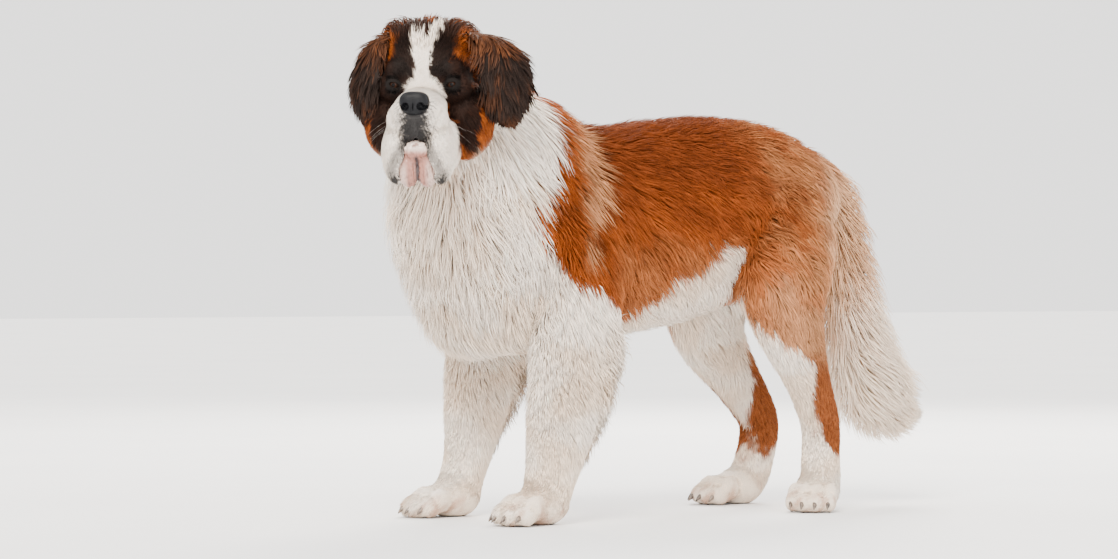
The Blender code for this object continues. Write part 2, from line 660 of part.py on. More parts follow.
def fuse_locks(node, locks):
    """Joins a node's locks to it in one union."""
    if not locks:
        return
    group = bpy.data.collections.new("locks")
    for rings in locks:
        points, faces = lock_mesh(rings)
        mesh = bpy.data.meshes.new("lock")
        mesh.from_pydata(points, [], faces)
        bm = bmesh.new()
        bm.from_mesh(mesh)
        bmesh.ops.recalc_face_normals(bm, faces=bm.faces)
        bm.to_mesh(mesh)
        bm.free()
        group.objects.link(bpy.data.objects.new("lock", mesh))
    fuse_group(node, group)
    thin = node.modifiers.new("Thin", "DECIMATE")
    thin.ratio = THINNED
    settle(node)
    keep_largest(node)


def head_place():
    """The head's frame: +X looks along the face, turned to the dog's left and a little up."""
    face = Matrix.Rotation(math.pi + HEAD_TURN, 4, "Z") @ Matrix.Rotation(-HEAD_RAISE, 4, "Y")
    return Matrix.Translation(EYE_MIDDLE) @ face


def make_ear(name, stations):
    """An ear flap hung from the skull: a leaf that bulges outside and is cupped inside."""
    spread = EAR_SPREADS[name].normalized()
    out = spread.cross(Vector((0.0, 0.0, 1.0)))
    if out.y * spread.y < 0:
        out = -out
    run = smooth_run([(*point, width, thick) for point, width, thick in stations], 2)
    rings = []
    for x, y, z, width, thick in run:
        ring = []
        for k in range(12):
            turn = math.tau * k / 12
            across = math.cos(turn)
            bulge = math.sin(turn)
            hollow = 0.5 * (1 - across ** 2) if bulge < 0 else 0.0
            ring.append(Vector((x, y, z)) + spread * width * across
                        + out * thick * (bulge * (1 - hollow) + 0.6 * (1 - across ** 2)))
        rings.append(ring)
    bm = bmesh.new()
    skin_over(bm, rings)
    bmesh.ops.transform(bm, matrix=head_place(), verts=bm.verts)
    return keep_largest(new_object(name, mesh_of(name, bm)))


def make_nose():
    """The nose leather: a blunt pad with two nostrils."""
    bm = bmesh.new()
    made = bmesh.ops.create_uvsphere(bm, u_segments=12, v_segments=7, radius=1.0)
    for vert in made["verts"]:
        x, y, z = vert.co
        taper = 1.0 - 0.22 * max(0.0, -z)
        vert.co = NOSE_CENTRE + Vector((0.019 * math.copysign(abs(x) ** 0.7, x),
                                        0.0265 * taper * math.copysign(abs(y) ** 0.8, y),
                                        0.021 * math.copysign(abs(z) ** 0.8, z)))
    nose = keep_largest(new_object("nose", mesh_of("nose", bm)))
    bm = bmesh.new()
    for side in (1, -1):
        nostril = NOSE_CENTRE + Vector((0.018, side * 0.0115, -0.002))
        blob(bm, nostril, (0.012, 0.0055, 0.0050), sides=8)
    combine(nose, new_object("nostrils", mesh_of("nostrils", bm)), "DIFFERENCE")
    nose.data.transform(head_place())
    return nose


def eye_ball(name, side, radius):
    """An eyeball, or a slightly larger ball to cut its socket."""
    bm = bmesh.new()
    bmesh.ops.create_uvsphere(bm, u_segments=10, v_segments=7, radius=radius)
    bmesh.ops.transform(bm, matrix=Matrix.Translation((-0.002, side * EYE_APART, 0.0)),
                        verts=bm.verts)
    bmesh.ops.transform(bm, matrix=head_place(), verts=bm.verts)
    return keep_largest(new_object(name, mesh_of(name, bm)))


def add_lids(head, side):
    """Raises the lids round an eye, with an almond opening that droops at its outer end."""
    bm = bmesh.new()
    blob(bm, Vector((-0.0015, side * EYE_APART, -0.0005)), (0.0162, 0.0175, 0.0160), sides=10)
    bmesh.ops.transform(bm, matrix=head_place(), verts=bm.verts)
    combine(head, new_object("lids", mesh_of("lids", bm)), "UNION")
    bm = bmesh.new()
    droop = Matrix.Rotation(math.radians(side * 14), 4, "X")
    blob(bm, Vector((0.016, side * (EYE_APART + 0.0005), -0.0005)), (0.020, 0.0125, 0.0062), droop, 10)
    bmesh.ops.transform(bm, matrix=head_place(), verts=bm.verts)
    combine(head, new_object("opening", mesh_of("opening", bm)), "DIFFERENCE")
    combine(head, eye_ball("socket", side, EYE_RADIUS + GAP), "DIFFERENCE")


def mouth_wedge():
    """The notch under the nose, where the hanging lips part."""
    bm = bmesh.new()
    top, low = -0.088, -0.150
    rows = [(0.050, 0.0, top), (0.050, 0.034, low), (0.050, 0.010, -0.200),
            (0.050, -0.010, -0.200), (0.050, -0.034, low)]
    back = bm.faces.new([bm.verts.new(row) for row in rows])
    front = bmesh.ops.extrude_face_region(bm, geom=[back])["geom"]
    moved = [item for item in front if isinstance(item, bmesh.types.BMVert)]
    bmesh.ops.translate(bm, vec=(0.080, 0.0, 0.0), verts=moved)
    bmesh.ops.transform(bm, matrix=head_place(), verts=bm.verts)
    return new_object("wedge", mesh_of("wedge", bm))


def make_head():
    """The head, jaw, nose, eyes and ears, each cut clear of the next."""
    bm = bmesh.new()
    blobs(bm, HEAD_BLOBS)
    head = melt("head", bm, 0.005, 6, 960)
    head.data.transform(head_place())
    bm = bmesh.new()
    blobs(bm, JAW_BLOBS)
    jaw = melt("jaw", bm, 0.0035, 3, 270)
    jaw.data.transform(head_place())
    nose = make_nose()
    combine(head, mouth_wedge(), "DIFFERENCE")
    clear_of(head, jaw, nose)
    eyes = []
    for side, name in ((1, "eye_left"), (-1, "eye_right")):
        add_lids(head, side)
        eyes.append(eye_ball(name, side, EYE_RADIUS))
    ears = [make_ear("ear_left", EAR_LEFT), make_ear("ear_right", EAR_RIGHT)]
    for ear in ears:
        clear_of(ear, head)
    return {node.name: node for node in (head, jaw, nose, *eyes, *ears)}


def paint(node, material_name):
    """Gives a node its material."""
    colour, roughness = COATS[material_name]
    material = bpy.data.materials.get(material_name) or bpy.data.materials.new(material_name)
    material.use_nodes = True
    shader = material.node_tree.nodes["Principled BSDF"]
    shader.inputs["Base Color"].default_value = (*colour, 1.0)
    shader.inputs["Roughness"].default_value = roughness
    node.data.materials.clear()
    node.data.materials.append(material)


def main():
    for obj in list(bpy.data.objects):
        bpy.data.objects.remove(obj)
    head_nodes = make_head()
    tips = make_body(1.0, 12000)
    outer = tree_of(tips)
    bpy.data.objects.remove(tips)
    body = make_body(CORE_SHARE, 2150)
    core = tree_of(body)
    nodes = part_body(body)
    paws = {row[0]: make_paw(*row) for row in PAWS}
    for neighbour in ("neck", "chest"):
        clear_of(nodes[neighbour], *[head_nodes[key] for key in ("head", "jaw", *EAR_SPREADS)])
    hairy = {name: head_nodes.pop(name) for name in ("head", *EAR_SPREADS)}
    nodes.update(hairy)
    grow_coat(nodes, {**head_nodes, **paws}, core, outer)
    nodes.update(head_nodes)
    nodes.update(paws)
    coats = {"head": "coat_red", "ear_left": "coat_dark", "ear_right": "coat_dark",
             "hindquarters": "coat_tan", "hindleg_left_thigh": "coat_tan",
             "hindleg_right_thigh": "coat_tan", "barrel": "coat_red", "nose": "nose_leather",
             "jaw": "lip_skin", "eye_left": "eye_glass", "eye_right": "eye_glass",
             "tail_base": "coat_tan"}
    for name, node in nodes.items():
        node.data.transform(Matrix.Translation(BODY_PLACE))
        paint(node, coats.get(name, "coat_white"))
        node.data.shade_smooth()


main()
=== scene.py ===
"""A life-size, long-haired Saint Bernard that stands still: its skin, coat, face, claws and stage.

Metres, +Z up. The dog faces -X and its left side faces -Y. Everything is built round the dog's own
middle, and moved by PLACE as it is finished. The face is built in a frame of its own, with +X from
between the eyes towards the nose and +Y to the dog's left.
"""
import math
from types import SimpleNamespace

import bmesh
import bpy
import numpy as np
from bpy.props import FloatProperty, FloatVectorProperty, IntProperty, PointerProperty
from mathutils import Matrix, Vector
from mathutils.bvhtree import BVHTree
from mathutils.kdtree import KDTree


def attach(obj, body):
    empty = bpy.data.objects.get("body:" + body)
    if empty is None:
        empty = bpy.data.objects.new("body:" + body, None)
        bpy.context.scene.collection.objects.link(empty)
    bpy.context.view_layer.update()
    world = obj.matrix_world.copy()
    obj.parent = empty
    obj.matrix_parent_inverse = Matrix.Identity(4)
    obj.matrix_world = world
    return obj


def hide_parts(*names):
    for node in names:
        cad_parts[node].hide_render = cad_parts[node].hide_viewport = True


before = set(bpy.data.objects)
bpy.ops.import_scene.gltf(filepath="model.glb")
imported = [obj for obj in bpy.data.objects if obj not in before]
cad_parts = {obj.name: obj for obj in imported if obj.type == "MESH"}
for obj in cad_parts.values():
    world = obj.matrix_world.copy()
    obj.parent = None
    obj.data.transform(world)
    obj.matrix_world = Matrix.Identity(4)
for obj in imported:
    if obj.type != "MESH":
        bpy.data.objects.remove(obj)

bl_info = {
    "name": "Saint Bernard",
    "version": (1, 0, 0),
    "blender": (4, 5, 0),
    "location": "3D View > Sidebar > Dog",
    "description": "Builds a standing long-haired Saint Bernard, piece by piece",
    "category": "Add Mesh",
}

PLACE = Vector((-0.0125, 0.0255, 0.0))   # from the dog's own middle to the middle of its box
FORE_TRACK = 0.140
HIND_TRACK = 0.130
PAW_WIDTH = 0.104
EYE_MIDDLE = Vector((-0.560, -0.150, 0.778))
HEAD_TURN = math.radians(48)
HEAD_RAISE = math.radians(-3)
SOLE_HEIGHT = 0.0005
OUTER_GRAIN = 0.009         # of the shape that the coat's depth is measured from
OUTER_HEAD_GRAIN = 0.006

# Sizes of the face, in the head's frame
EYE_APART = 0.050                       # from the face's middle to an eye's
LID_RADII = (0.0150, 0.0172, 0.0150)
OPENING_RADII = (0.020, 0.0096, 0.0044)
OPENING_DROOP = 18                      # degrees, at its outer end
SOCKET_GAP = 0.0003
NOSE_CENTRE = Vector((0.098, 0.0, -0.033))
NOSE_RADII = (0.0185, 0.0260, 0.0205)
NOSE_GRAIN = 0.0008
LIP_GRAIN = 0.0016
WHISKERS_A_SIDE = 4
WHISKER_WIDTH = 0.00020
CLAW_LENGTH = 0.016
CLAW_DROP = 0.010
CLAW_RADIUS = 0.0046

# Tufts
SOFTNESS = 0.6              # how far a tuft is shaded as the skin under it is
LONG_HAIR = 0.066           # longer than this, a tuft has three rings
SHORT_HAIR = 0.0175         # shorter than this, it has one
LONG_STEPS = (0.0, 0.34, 0.68, 1.0)
TUFTS_A_LOCK = 18
TAIL_START = 0.455          # x, from which hair hangs free of the skin
MOST_TRIANGLES = 195000     # in one piece of coat
BAKE_PATCH = 0.003          # side of a tuft's patch on its bake map

# Camera, fitted to the photo's frame
CAMERA_TURN = math.radians(35)          # round from the dog's left side
PIXELS_PER_METRE = 535.0                # at the dog
PHOTO_WIDTH = 1118.0
CAMERA_ASIDE = 73.0 / PIXELS_PER_METRE
SENSOR_WIDTH = 36.0

# Trunk out to the tips of the coat: x, top, bottom, half width, and the coat's depth
TRUNK = (
    (-0.440, 0.600, 0.440, 0.075, 0.045),
    (-0.390, 0.655, 0.370, 0.130, 0.045),
    (-0.320, 0.700, 0.325, 0.165, 0.042),
    (-0.230, 0.728, 0.312, 0.182, 0.040),
    (-0.130, 0.728, 0.322, 0.186, 0.038),
    (-0.030, 0.733, 0.334, 0.182, 0.036),
    (0.070, 0.746, 0.350, 0.174, 0.036),
    (0.170, 0.755, 0.380, 0.166, 0.036),
    (0.270, 0.750, 0.418, 0.158, 0.038),
    (0.350, 0.728, 0.458, 0.144, 0.040),
    (0.410, 0.690, 0.508, 0.112, 0.040),
    (0.446, 0.645, 0.558, 0.062, 0.035),
)

# Limbs from their root: a point, half depth in the limb's plane, half width, and the coat's depth
NECK = (
    ((-0.225, 0.000, 0.560), 0.175, 0.168, 0.045),
    ((-0.290, 0.000, 0.625), 0.178, 0.166, 0.050),
    ((-0.355, -0.006, 0.690), 0.146, 0.150, 0.050),
    ((-0.410, -0.020, 0.745), 0.116, 0.124, 0.042),
    ((-0.455, -0.040, 0.785), 0.075, 0.085, 0.025),
)
RUFF = (
    ((-0.385, -0.012, 0.730), 0.120, 0.130, 0.045),
    ((-0.358, -0.006, 0.668), 0.165, 0.165, 0.055),
    ((-0.328, 0.000, 0.598), 0.192, 0.186, 0.060),
    ((-0.304, 0.000, 0.528), 0.192, 0.195, 0.060),
    ((-0.294, 0.000, 0.448), 0.172, 0.190, 0.058),
    ((-0.280, 0.000, 0.390), 0.158, 0.172, 0.052),
    ((-0.262, 0.000, 0.343), 0.125, 0.140, 0.045),
    ((-0.255, 0.000, 0.312), 0.060, 0.080, 0.025),
)
FORELEG_LEFT = (
    ((-0.225, -0.100, 0.545), 0.110, 0.072, 0.030),
    ((-0.222, -0.124, 0.450), 0.100, 0.070, 0.030),
    ((-0.222, -0.136, 0.372), 0.094, 0.064, 0.028),
    ((-0.240, -FORE_TRACK, 0.288), 0.088, 0.055, 0.027),
    ((-0.256, -FORE_TRACK, 0.205), 0.078, 0.050, 0.022),
    ((-0.272, -FORE_TRACK, 0.125), 0.060, 0.048, 0.012),
    ((-0.284, -FORE_TRACK, 0.080), 0.050, 0.044, 0.009),
    ((-0.296, -FORE_TRACK, 0.042), 0.046, 0.044, 0.008),
)
FORELEG_RIGHT = (
    ((-0.225, 0.100, 0.545), 0.110, 0.072, 0.030),
    ((-0.222, 0.124, 0.450), 0.100, 0.070, 0.030),
    ((-0.228, 0.134, 0.372), 0.094, 0.062, 0.028),
    ((-0.240, FORE_TRACK, 0.288), 0.086, 0.052, 0.027),
    ((-0.258, FORE_TRACK, 0.205), 0.070, 0.046, 0.020),
    ((-0.272, FORE_TRACK, 0.125), 0.050, 0.043, 0.010),
    ((-0.286, FORE_TRACK, 0.080), 0.044, 0.041, 0.008),
    ((-0.300, FORE_TRACK, 0.042), 0.045, 0.043, 0.008),
)
HINDLEG_LEFT = (
    ((0.285, -0.075, 0.580), 0.130, 0.085, 0.036),
    ((0.272, -0.105, 0.490), 0.124, 0.082, 0.036),
    ((0.248, -0.140, 0.405), 0.094, 0.074, 0.030),
    ((0.262, -0.156, 0.325), 0.066, 0.054, 0.020),
    ((0.308, -0.142, 0.245), 0.046, 0.042, 0.014),
    ((0.352, -0.124, 0.165), 0.042, 0.034, 0.010),
    ((0.356, -0.120, 0.105), 0.040, 0.035, 0.008),
    ((0.352, -0.124, 0.042), 0.042, 0.041, 0.008),
)
HINDLEG_RIGHT = (
    ((0.285, 0.075, 0.580), 0.130, 0.085, 0.036),
    ((0.276, 0.100, 0.490), 0.128, 0.080, 0.036),
    ((0.268, 0.124, 0.405), 0.100, 0.070, 0.030),
    ((0.292, 0.138, 0.325), 0.078, 0.056, 0.024),
    ((0.352, 0.138, 0.245), 0.054, 0.044, 0.017),
    ((0.404, 0.132, 0.165), 0.044, 0.035, 0.011),
    ((0.398, HIND_TRACK, 0.105), 0.042, 0.035, 0.009),
    ((0.376, HIND_TRACK, 0.042), 0.042, 0.040, 0.008),
)
TAIL = (
    ((0.400, 0.000, 0.650), 0.050, 0.046, 0.026),
    ((0.452, 0.000, 0.622), 0.056, 0.048, 0.030),
    ((0.484, -0.002, 0.550), 0.054, 0.052, 0.032),
    ((0.502, -0.004, 0.460), 0.056, 0.056, 0.036),
    ((0.519, -0.008, 0.375), 0.062, 0.060, 0.040),
    ((0.542, -0.012, 0.300), 0.075, 0.065, 0.048),
    ((0.568, -0.014, 0.234), 0.084, 0.066, 0.052),
    ((0.602, -0.016, 0.194), 0.068, 0.055, 0.042),
    ((0.650, -0.018, 0.178), 0.034, 0.030, 0.020),
    ((0.684, -0.020, 0.176), 0.010, 0.010, 0.004),
)
LIMBS = (NECK, RUFF, FORELEG_LEFT, FORELEG_RIGHT, HINDLEG_LEFT, HINDLEG_RIGHT, TAIL)

# Paws: name, middle on the floor, and degrees that the toes turn left
PAWS = (
    ("foreleg_left", (-0.322, -FORE_TRACK), 8),
    ("foreleg_right", (-0.330, FORE_TRACK), -4),
    ("hindleg_left", (0.330, -0.134), 42),
    ("hindleg_right", (0.330, HIND_TRACK), -2),
)
TOES = ((-0.75, 0.018), (-0.26, 0.032), (0.26, 0.032), (0.75, 0.018))     # across, and reach ahead

# Ellipsoids of the head: centre, radii, if the other side has one too, and the coat's depth
HEAD_BLOBS = (
    ((-0.078, 0.000, 0.014), (0.108, 0.094, 0.100), False, 0.010),     # braincase
    ((-0.072, 0.044, 0.066), (0.064, 0.048, 0.050), True, 0.018),      # thick hair over the ears
    ((-0.120, 0.000, -0.035), (0.075, 0.098, 0.105), False, 0.018),    # nape and throat
    ((-0.014, 0.040, 0.026), (0.032, 0.032, 0.024), True, 0.006),      # brows
    ((-0.030, 0.048, -0.006), (0.042, 0.043, 0.036), True, 0.006),     # round the eyes
    ((0.030, 0.000, -0.044), (0.074, 0.049, 0.041), False, 0.004),     # bridge of the muzzle
    ((0.064, 0.000, -0.062), (0.044, 0.057, 0.047), False, 0.004),     # its blunt front
    ((0.056, 0.036, -0.118), (0.044, 0.031, 0.058), True, 0.004),      # hanging lips in front
    ((0.014, 0.044, -0.106), (0.050, 0.027, 0.050), True, 0.005),      # and towards the cheeks
    ((-0.055, 0.066, -0.062), (0.064, 0.056, 0.078), True, 0.016),     # cheeks
)
JAW_BLOBS = (
    ((0.020, 0.000, -0.122), (0.070, 0.030, 0.024), False, 0.0),       # jaw bone and its skin
    ((0.074, 0.000, -0.114), (0.022, 0.026, 0.019), False, 0.0),       # chin
    ((0.066, 0.0165, -0.141), (0.019, 0.021, 0.037), True, 0.0),        # hanging lower lips
)

# Ears hung from the skull: a point, half width and half thickness
EARS = {
    "ear_left": (
        ((-0.050, 0.066, 0.092), 0.019, 0.012),
        ((-0.050, 0.098, 0.084), 0.040, 0.014),
        ((-0.046, 0.128, 0.052), 0.055, 0.016),
        ((-0.042, 0.136, 0.006), 0.058, 0.017),
        ((-0.040, 0.138, -0.034), 0.046, 0.015),
        ((-0.040, 0.143, -0.068), 0.018, 0.009),
    ),
    "ear_right": (
        ((-0.052, -0.060, 0.088), 0.019, 0.012),
        ((-0.052, -0.085, 0.072), 0.038, 0.014),
        ((-0.050, -0.100, 0.040), 0.048, 0.016),
        ((-0.046, -0.107, 0.002), 0.050, 0.017),
        ((-0.044, -0.106, -0.034), 0.040, 0.015),
        ((-0.042, -0.104, -0.066), 0.016, 0.009),
    ),
}
EAR_SPREADS = {"ear_left": Vector((-0.66, 0.75, 0.0)), "ear_right": Vector((-0.80, -0.60, 0.0))}

# The lie of the body's coat: a place, which way hair lies there, whether the other side has it,
# the hair's length, a tuft's width, how much tufts draw together, and how much they wave
LIE = (
    ((-0.300, 0.000, 0.800), (0.75, 0.00, -0.55), False, 0.075, 0.0028, 0.45, 0.10),    # nape
    ((-0.150, 0.000, 0.745), (0.95, 0.00, -0.20), False, 0.062, 0.0027, 0.40, 0.08),    # withers
    ((0.100, 0.000, 0.750), (1.00, 0.00, -0.05), False, 0.050, 0.0024, 0.35, 0.06),     # back
    ((0.350, 0.000, 0.730), (0.90, 0.00, -0.40), False, 0.055, 0.0024, 0.40, 0.08),     # croup
    ((-0.320, 0.150, 0.700), (0.35, 0.00, -0.90), True, 0.080, 0.0023, 0.26, 0.10),  # neck's side
    ((-0.510, 0.000, 0.560), (0.10, 0.00, -1.00), False, 0.085, 0.0023, 0.28, 0.16),    # chest
    ((-0.420, 0.140, 0.550), (0.15, 0.25, -1.00), True, 0.085, 0.0023, 0.28, 0.16),     # ruff
    ((-0.360, 0.050, 0.330), (0.60, 0.10, -0.75), True, 0.055, 0.0023, 0.28, 0.12),     # brisket
    ((-0.250, 0.190, 0.600), (0.45, 0.00, -0.90), True, 0.062, 0.0024, 0.30, 0.10),     # shoulder
    ((-0.250, 0.180, 0.440), (0.25, 0.00, -0.95), True, 0.052, 0.0023, 0.26, 0.08),     # upper arm
    ((-0.050, 0.180, 0.640), (0.80, 0.00, -0.50), True, 0.052, 0.0024, 0.40, 0.08),     # ribs
    ((0.120, 0.170, 0.620), (0.80, 0.00, -0.55), True, 0.052, 0.0024, 0.50, 0.14),      # flank
    ((0.000, 0.160, 0.430), (0.60, 0.00, -0.80), True, 0.056, 0.0024, 0.32, 0.10),      # low ribs
    ((0.060, 0.000, 0.350), (0.80, 0.00, -0.50), False, 0.050, 0.0025, 0.40, 0.10),     # belly
    ((0.200, 0.160, 0.520), (0.70, 0.00, -0.70), True, 0.055, 0.0024, 0.60, 0.30),  # stifle fold
    ((0.280, 0.160, 0.620), (0.60, 0.00, -0.80), True, 0.055, 0.0024, 0.55, 0.26),      # haunch
    ((0.230, 0.160, 0.430), (0.35, 0.00, -0.95), True, 0.052, 0.0023, 0.40, 0.12),      # thigh
    ((0.390, 0.110, 0.480), (0.50, 0.00, -0.90), True, 0.085, 0.0024, 0.40, 0.16),      # breeches
    ((0.310, 0.150, 0.280), (0.45, 0.00, -0.90), True, 0.032, 0.0021, 0.25, 0.05),      # shank
    ((0.360, 0.125, 0.200), (0.30, 0.00, -0.95), True, 0.024, 0.0019, 0.20, 0.03),      # hock
    ((0.360, 0.120, 0.100), (0.10, 0.00, -1.00), True, 0.018, 0.0021, 0.20, 0.03),      # metatarsus
    ((0.330, 0.130, 0.040), (-0.70, 0.00, -0.60), True, 0.013, 0.0021, 0.25, 0.03),     # hind paw
    ((-0.280, 0.140, 0.280), (0.10, 0.00, -1.00), True, 0.030, 0.0021, 0.25, 0.05),     # forearm
    ((-0.160, 0.140, 0.300), (0.75, 0.00, -0.70), True, 0.070, 0.0021, 0.40, 0.14),     # feathering
    ((-0.300, 0.140, 0.140), (0.05, 0.00, -1.00), True, 0.022, 0.0017, 0.20, 0.03),     # pastern
    ((-0.220, 0.140, 0.150), (0.65, 0.00, -0.80), True, 0.050, 0.0018, 0.35, 0.10),     # behind it
    ((-0.330, 0.135, 0.040), (-0.70, 0.00, -0.60), True, 0.013, 0.0021, 0.25, 0.03),    # fore paw
    ((0.480, 0.000, 0.620), (0.60, 0.00, -0.80), False, 0.075, 0.0024, 0.30, 0.10),  # tail's root
    ((0.510, 0.000, 0.450), (0.60, 0.00, -0.85), False, 0.095, 0.0024, 0.30, 0.12),     # its length
    ((0.550, 0.000, 0.300), (0.75, 0.00, -0.70), False, 0.095, 0.0023, 0.30, 0.12),
    ((0.620, 0.000, 0.180), (0.95, 0.00, -0.30), False, 0.042, 0.0021, 0.30, 0.10),  # upturned end
    ((0.685, 0.000, 0.176), (0.95, 0.00, -0.10), False, 0.022, 0.0020, 0.25, 0.08),     # its tip
)

# The same for the head, in its own frame, with the coat's depth left to the ellipsoids
HEAD_LIE = (
    ((0.075, 0.000, -0.010), (-1.0, 0.0, 0.25), False, 0.0070, 0.0014, 0.10, 0.02),  # nose bridge
    ((0.020, 0.000, 0.005), (-0.6, 0.0, 0.9), False, 0.0070, 0.0014, 0.10, 0.02),        # stop
    ((-0.020, 0.000, 0.075), (-0.7, 0.0, 0.7), False, 0.020, 0.0024, 0.25, 0.04),       # forehead
    ((-0.090, 0.000, 0.118), (-1.0, 0.0, 0.0), False, 0.044, 0.0024, 0.30, 0.03),      # crown
    ((-0.060, 0.050, 0.110), (-0.6, 0.8, 0.1), True, 0.046, 0.0024, 0.35, 0.04),  # over the ears
    ((-0.008, 0.042, 0.045), (-0.5, 0.3, 0.8), True, 0.014, 0.0020, 0.15, 0.03),        # brows
    ((0.004, 0.052, 0.014), (-0.4, 0.5, 0.7), True, 0.008, 0.0015, 0.10, 0.02),         # upper lids
    ((0.002, 0.056, -0.018), (-0.4, 0.4, -0.8), True, 0.009, 0.0016, 0.10, 0.02),       # lower lids
    ((0.040, 0.048, -0.060), (-0.5, 0.2, -0.9), True, 0.0095, 0.0016, 0.10, 0.02),  # muzzle's side
    ((0.080, 0.042, -0.080), (-0.1, 0.4, -1.0), True, 0.010, 0.0016, 0.10, 0.02),       # its front
    ((0.104, 0.012, -0.070), (0.1, 0.5, -1.0), True, 0.006, 0.0014, 0.10, 0.02),  # under the nose
    ((0.060, 0.055, -0.150), (-0.2, 0.0, -1.0), True, 0.013, 0.0019, 0.20, 0.03),       # lip edge
    ((-0.030, 0.085, -0.050), (-0.6, 0.3, -0.8), True, 0.022, 0.0026, 0.35, 0.08),  # cheek front
    ((-0.080, 0.105, -0.080), (-0.6, 0.5, -0.8), True, 0.048, 0.0028, 0.45, 0.14),      # cheek back
    ((-0.060, 0.088, 0.020), (-0.8, 0.3, -0.5), True, 0.018, 0.0024, 0.25, 0.05),       # temple
    ((-0.180, 0.000, 0.020), (-0.5, 0.0, -1.0), False, 0.060, 0.0044, 0.50, 0.12),      # nape
    ((-0.110, 0.040, -0.140), (-0.5, 0.1, -0.9), True, 0.060, 0.0044, 0.50, 0.14),      # throat
)
EAR_HAIR = (0.044, 0.0032, 0.45, 0.14)      # length, width, draw and wave of the ears' hair

# Left edges of the coloured areas, seen from the dog's left, in x and z
COLLAR_EDGE = ((0.40, -0.245), (0.442, -0.256), (0.491, -0.284), (0.521, -0.319), (0.565, -0.338),
               (0.638, -0.310), (0.692, -0.284), (0.736, -0.284), (0.80, -0.30))
BLANKET_EDGE = ((-0.40, 0.50), (-0.284, 0.488), (-0.256, 0.442), (-0.214, 0.442), (-0.203, 0.419),
                (-0.147, 0.401), (-0.103, 0.392), (-0.057, 0.419), (-0.023, 0.455), (0.022, 0.470),
                (0.069, 0.501), (0.111, 0.515), (0.142, 0.515))
THIGH_EDGE = ((0.117, 0.372), (0.150, 0.338), (0.196, 0.313), (0.258, 0.290), (0.313, 0.245),
              (0.353, 0.190), (0.424, 0.150), (0.505, 0.142), (0.520, -1.0))
BAND_EDGE = ((0.46, -0.229), (0.509, -0.220), (0.554, -0.214), (0.60, -0.196), (0.644, -0.185),
             (0.70, -0.181), (0.74, -0.19))
BLAZE_WIDTH = ((-0.010, 0.034), (0.008, 0.017), (0.026, 0.0105), (0.044, 0.0145), (0.070, 0.022),
               (0.096, 0.028), (0.115, 0.024))

made = {}       # what one piece leaves for the next: the skin's trees and its coat's depth


# Settings that a user would change

class SkinSettings(bpy.types.PropertyGroup):
    """Sizes of the skin."""
    share: FloatProperty(name="Skin share", description="How far into the coat the skin reaches",
                         default=0.45, min=0.0, max=0.45)
    body_voxel: FloatProperty(name="Body grain", description="Size of the body skin's faces",
                              default=0.0068, unit="LENGTH")
    head_voxel: FloatProperty(name="Head grain", description="Size of the head skin's faces",
                              default=0.0030, unit="LENGTH")
    eye_radius: FloatProperty(name="Eye radius", description="Radius of an eyeball",
                              default=0.0125, unit="LENGTH")


class CoatSettings(bpy.types.PropertyGroup):
    """Sizes of the coat."""
    cover: FloatProperty(name="Cover", description="How many layers of tufts lie over the skin",
                         default=4.0, min=0.5, max=8.0)
    length: FloatProperty(name="Length", description="Share of the usual hair length", default=1.0)
    width: FloatProperty(name="Width", description="Share of the usual tuft width", default=1.0)
    seed: IntProperty(name="Seed", description="Draw of the tufts", default=7)


def colour_property(name, description, default):
    """A colour that a user may change."""
    return FloatVectorProperty(name=name, description=description, subtype="COLOR", size=3,
                               default=default, min=0.0, max=1.0)


class CoatColours(bpy.types.PropertyGroup):
    """Colours of the coat and the bare skin."""
    white: colour_property("White", "Collar, legs and muzzle", (0.97, 0.865, 0.765))
    cream: colour_property("Cream", "Shaded and lower parts of the white", (0.80, 0.58, 0.38))
    orange: colour_property("Orange", "Ribs and shoulder patch", (0.35, 0.074, 0.010))
    mahogany: colour_property("Mahogany", "Back and upper ribs", (0.185, 0.040, 0.009))
    tan: colour_property("Tan", "Haunches and thighs", (0.51, 0.205, 0.078))
    dark: colour_property("Dark brown", "Mask and ears", (0.0095, 0.0060, 0.0048))
    grey: colour_property("Grey", "Speckled skin under the nose", (0.013, 0.014, 0.017))
    pink: colour_property("Pink", "Bare lips", (0.35, 0.145, 0.105))


class StageSettings(bpy.types.PropertyGroup):
    """Floor, light and camera."""
    floor: FloatProperty(name="Floor", description="Side of the floor", default=60.0, unit="LENGTH")
    key: FloatProperty(name="Key light", description="Strength of the main light", default=5.2)
    softness: FloatProperty(name="Softness", description="How wide the main light is",
                            default=math.radians(28), unit="ROTATION")
    fill: FloatProperty(name="Fill light", description="Power of the light in front", default=110.0)
    rim: FloatProperty(name="Rim light", description="Power of the light behind", default=420.0)
    sky: FloatProperty(name="Sky", description="Strength of the light all round", default=2.2)
    distance: FloatProperty(name="Distance", description="From the camera to the dog's middle",
                            default=6.5, unit="LENGTH")
    height: FloatProperty(name="Height", description="Height of the camera",
                          default=0.438, unit="LENGTH")


# Small mesh tools

def smooth_run(rows, steps):
    """Rows of numbers on a smooth curve through the given ones, with steps to a span."""
    rows = np.asarray(rows, float)
    padded = np.vstack([2 * rows[0] - rows[1], rows, 2 * rows[-1] - rows[-2]])
    run = []
    for i in range(1, len(padded) - 2):
        before, start, end, after = padded[i - 1:i + 3]
        for t in np.arange(steps) / steps:
            run.append(0.5 * (2 * start + (end - before) * t
                              + (2 * before - 5 * start + 4 * end - after) * t ** 2
                              + (3 * start - before - 3 * end + after) * t ** 3))
    return np.array(run + [padded[-2]])


def new_object(name, data):
    """Links a mesh, light or camera to the scene as an object of that name."""
    obj = bpy.data.objects.new(name, data)
    bpy.context.scene.collection.objects.link(obj)
    return obj


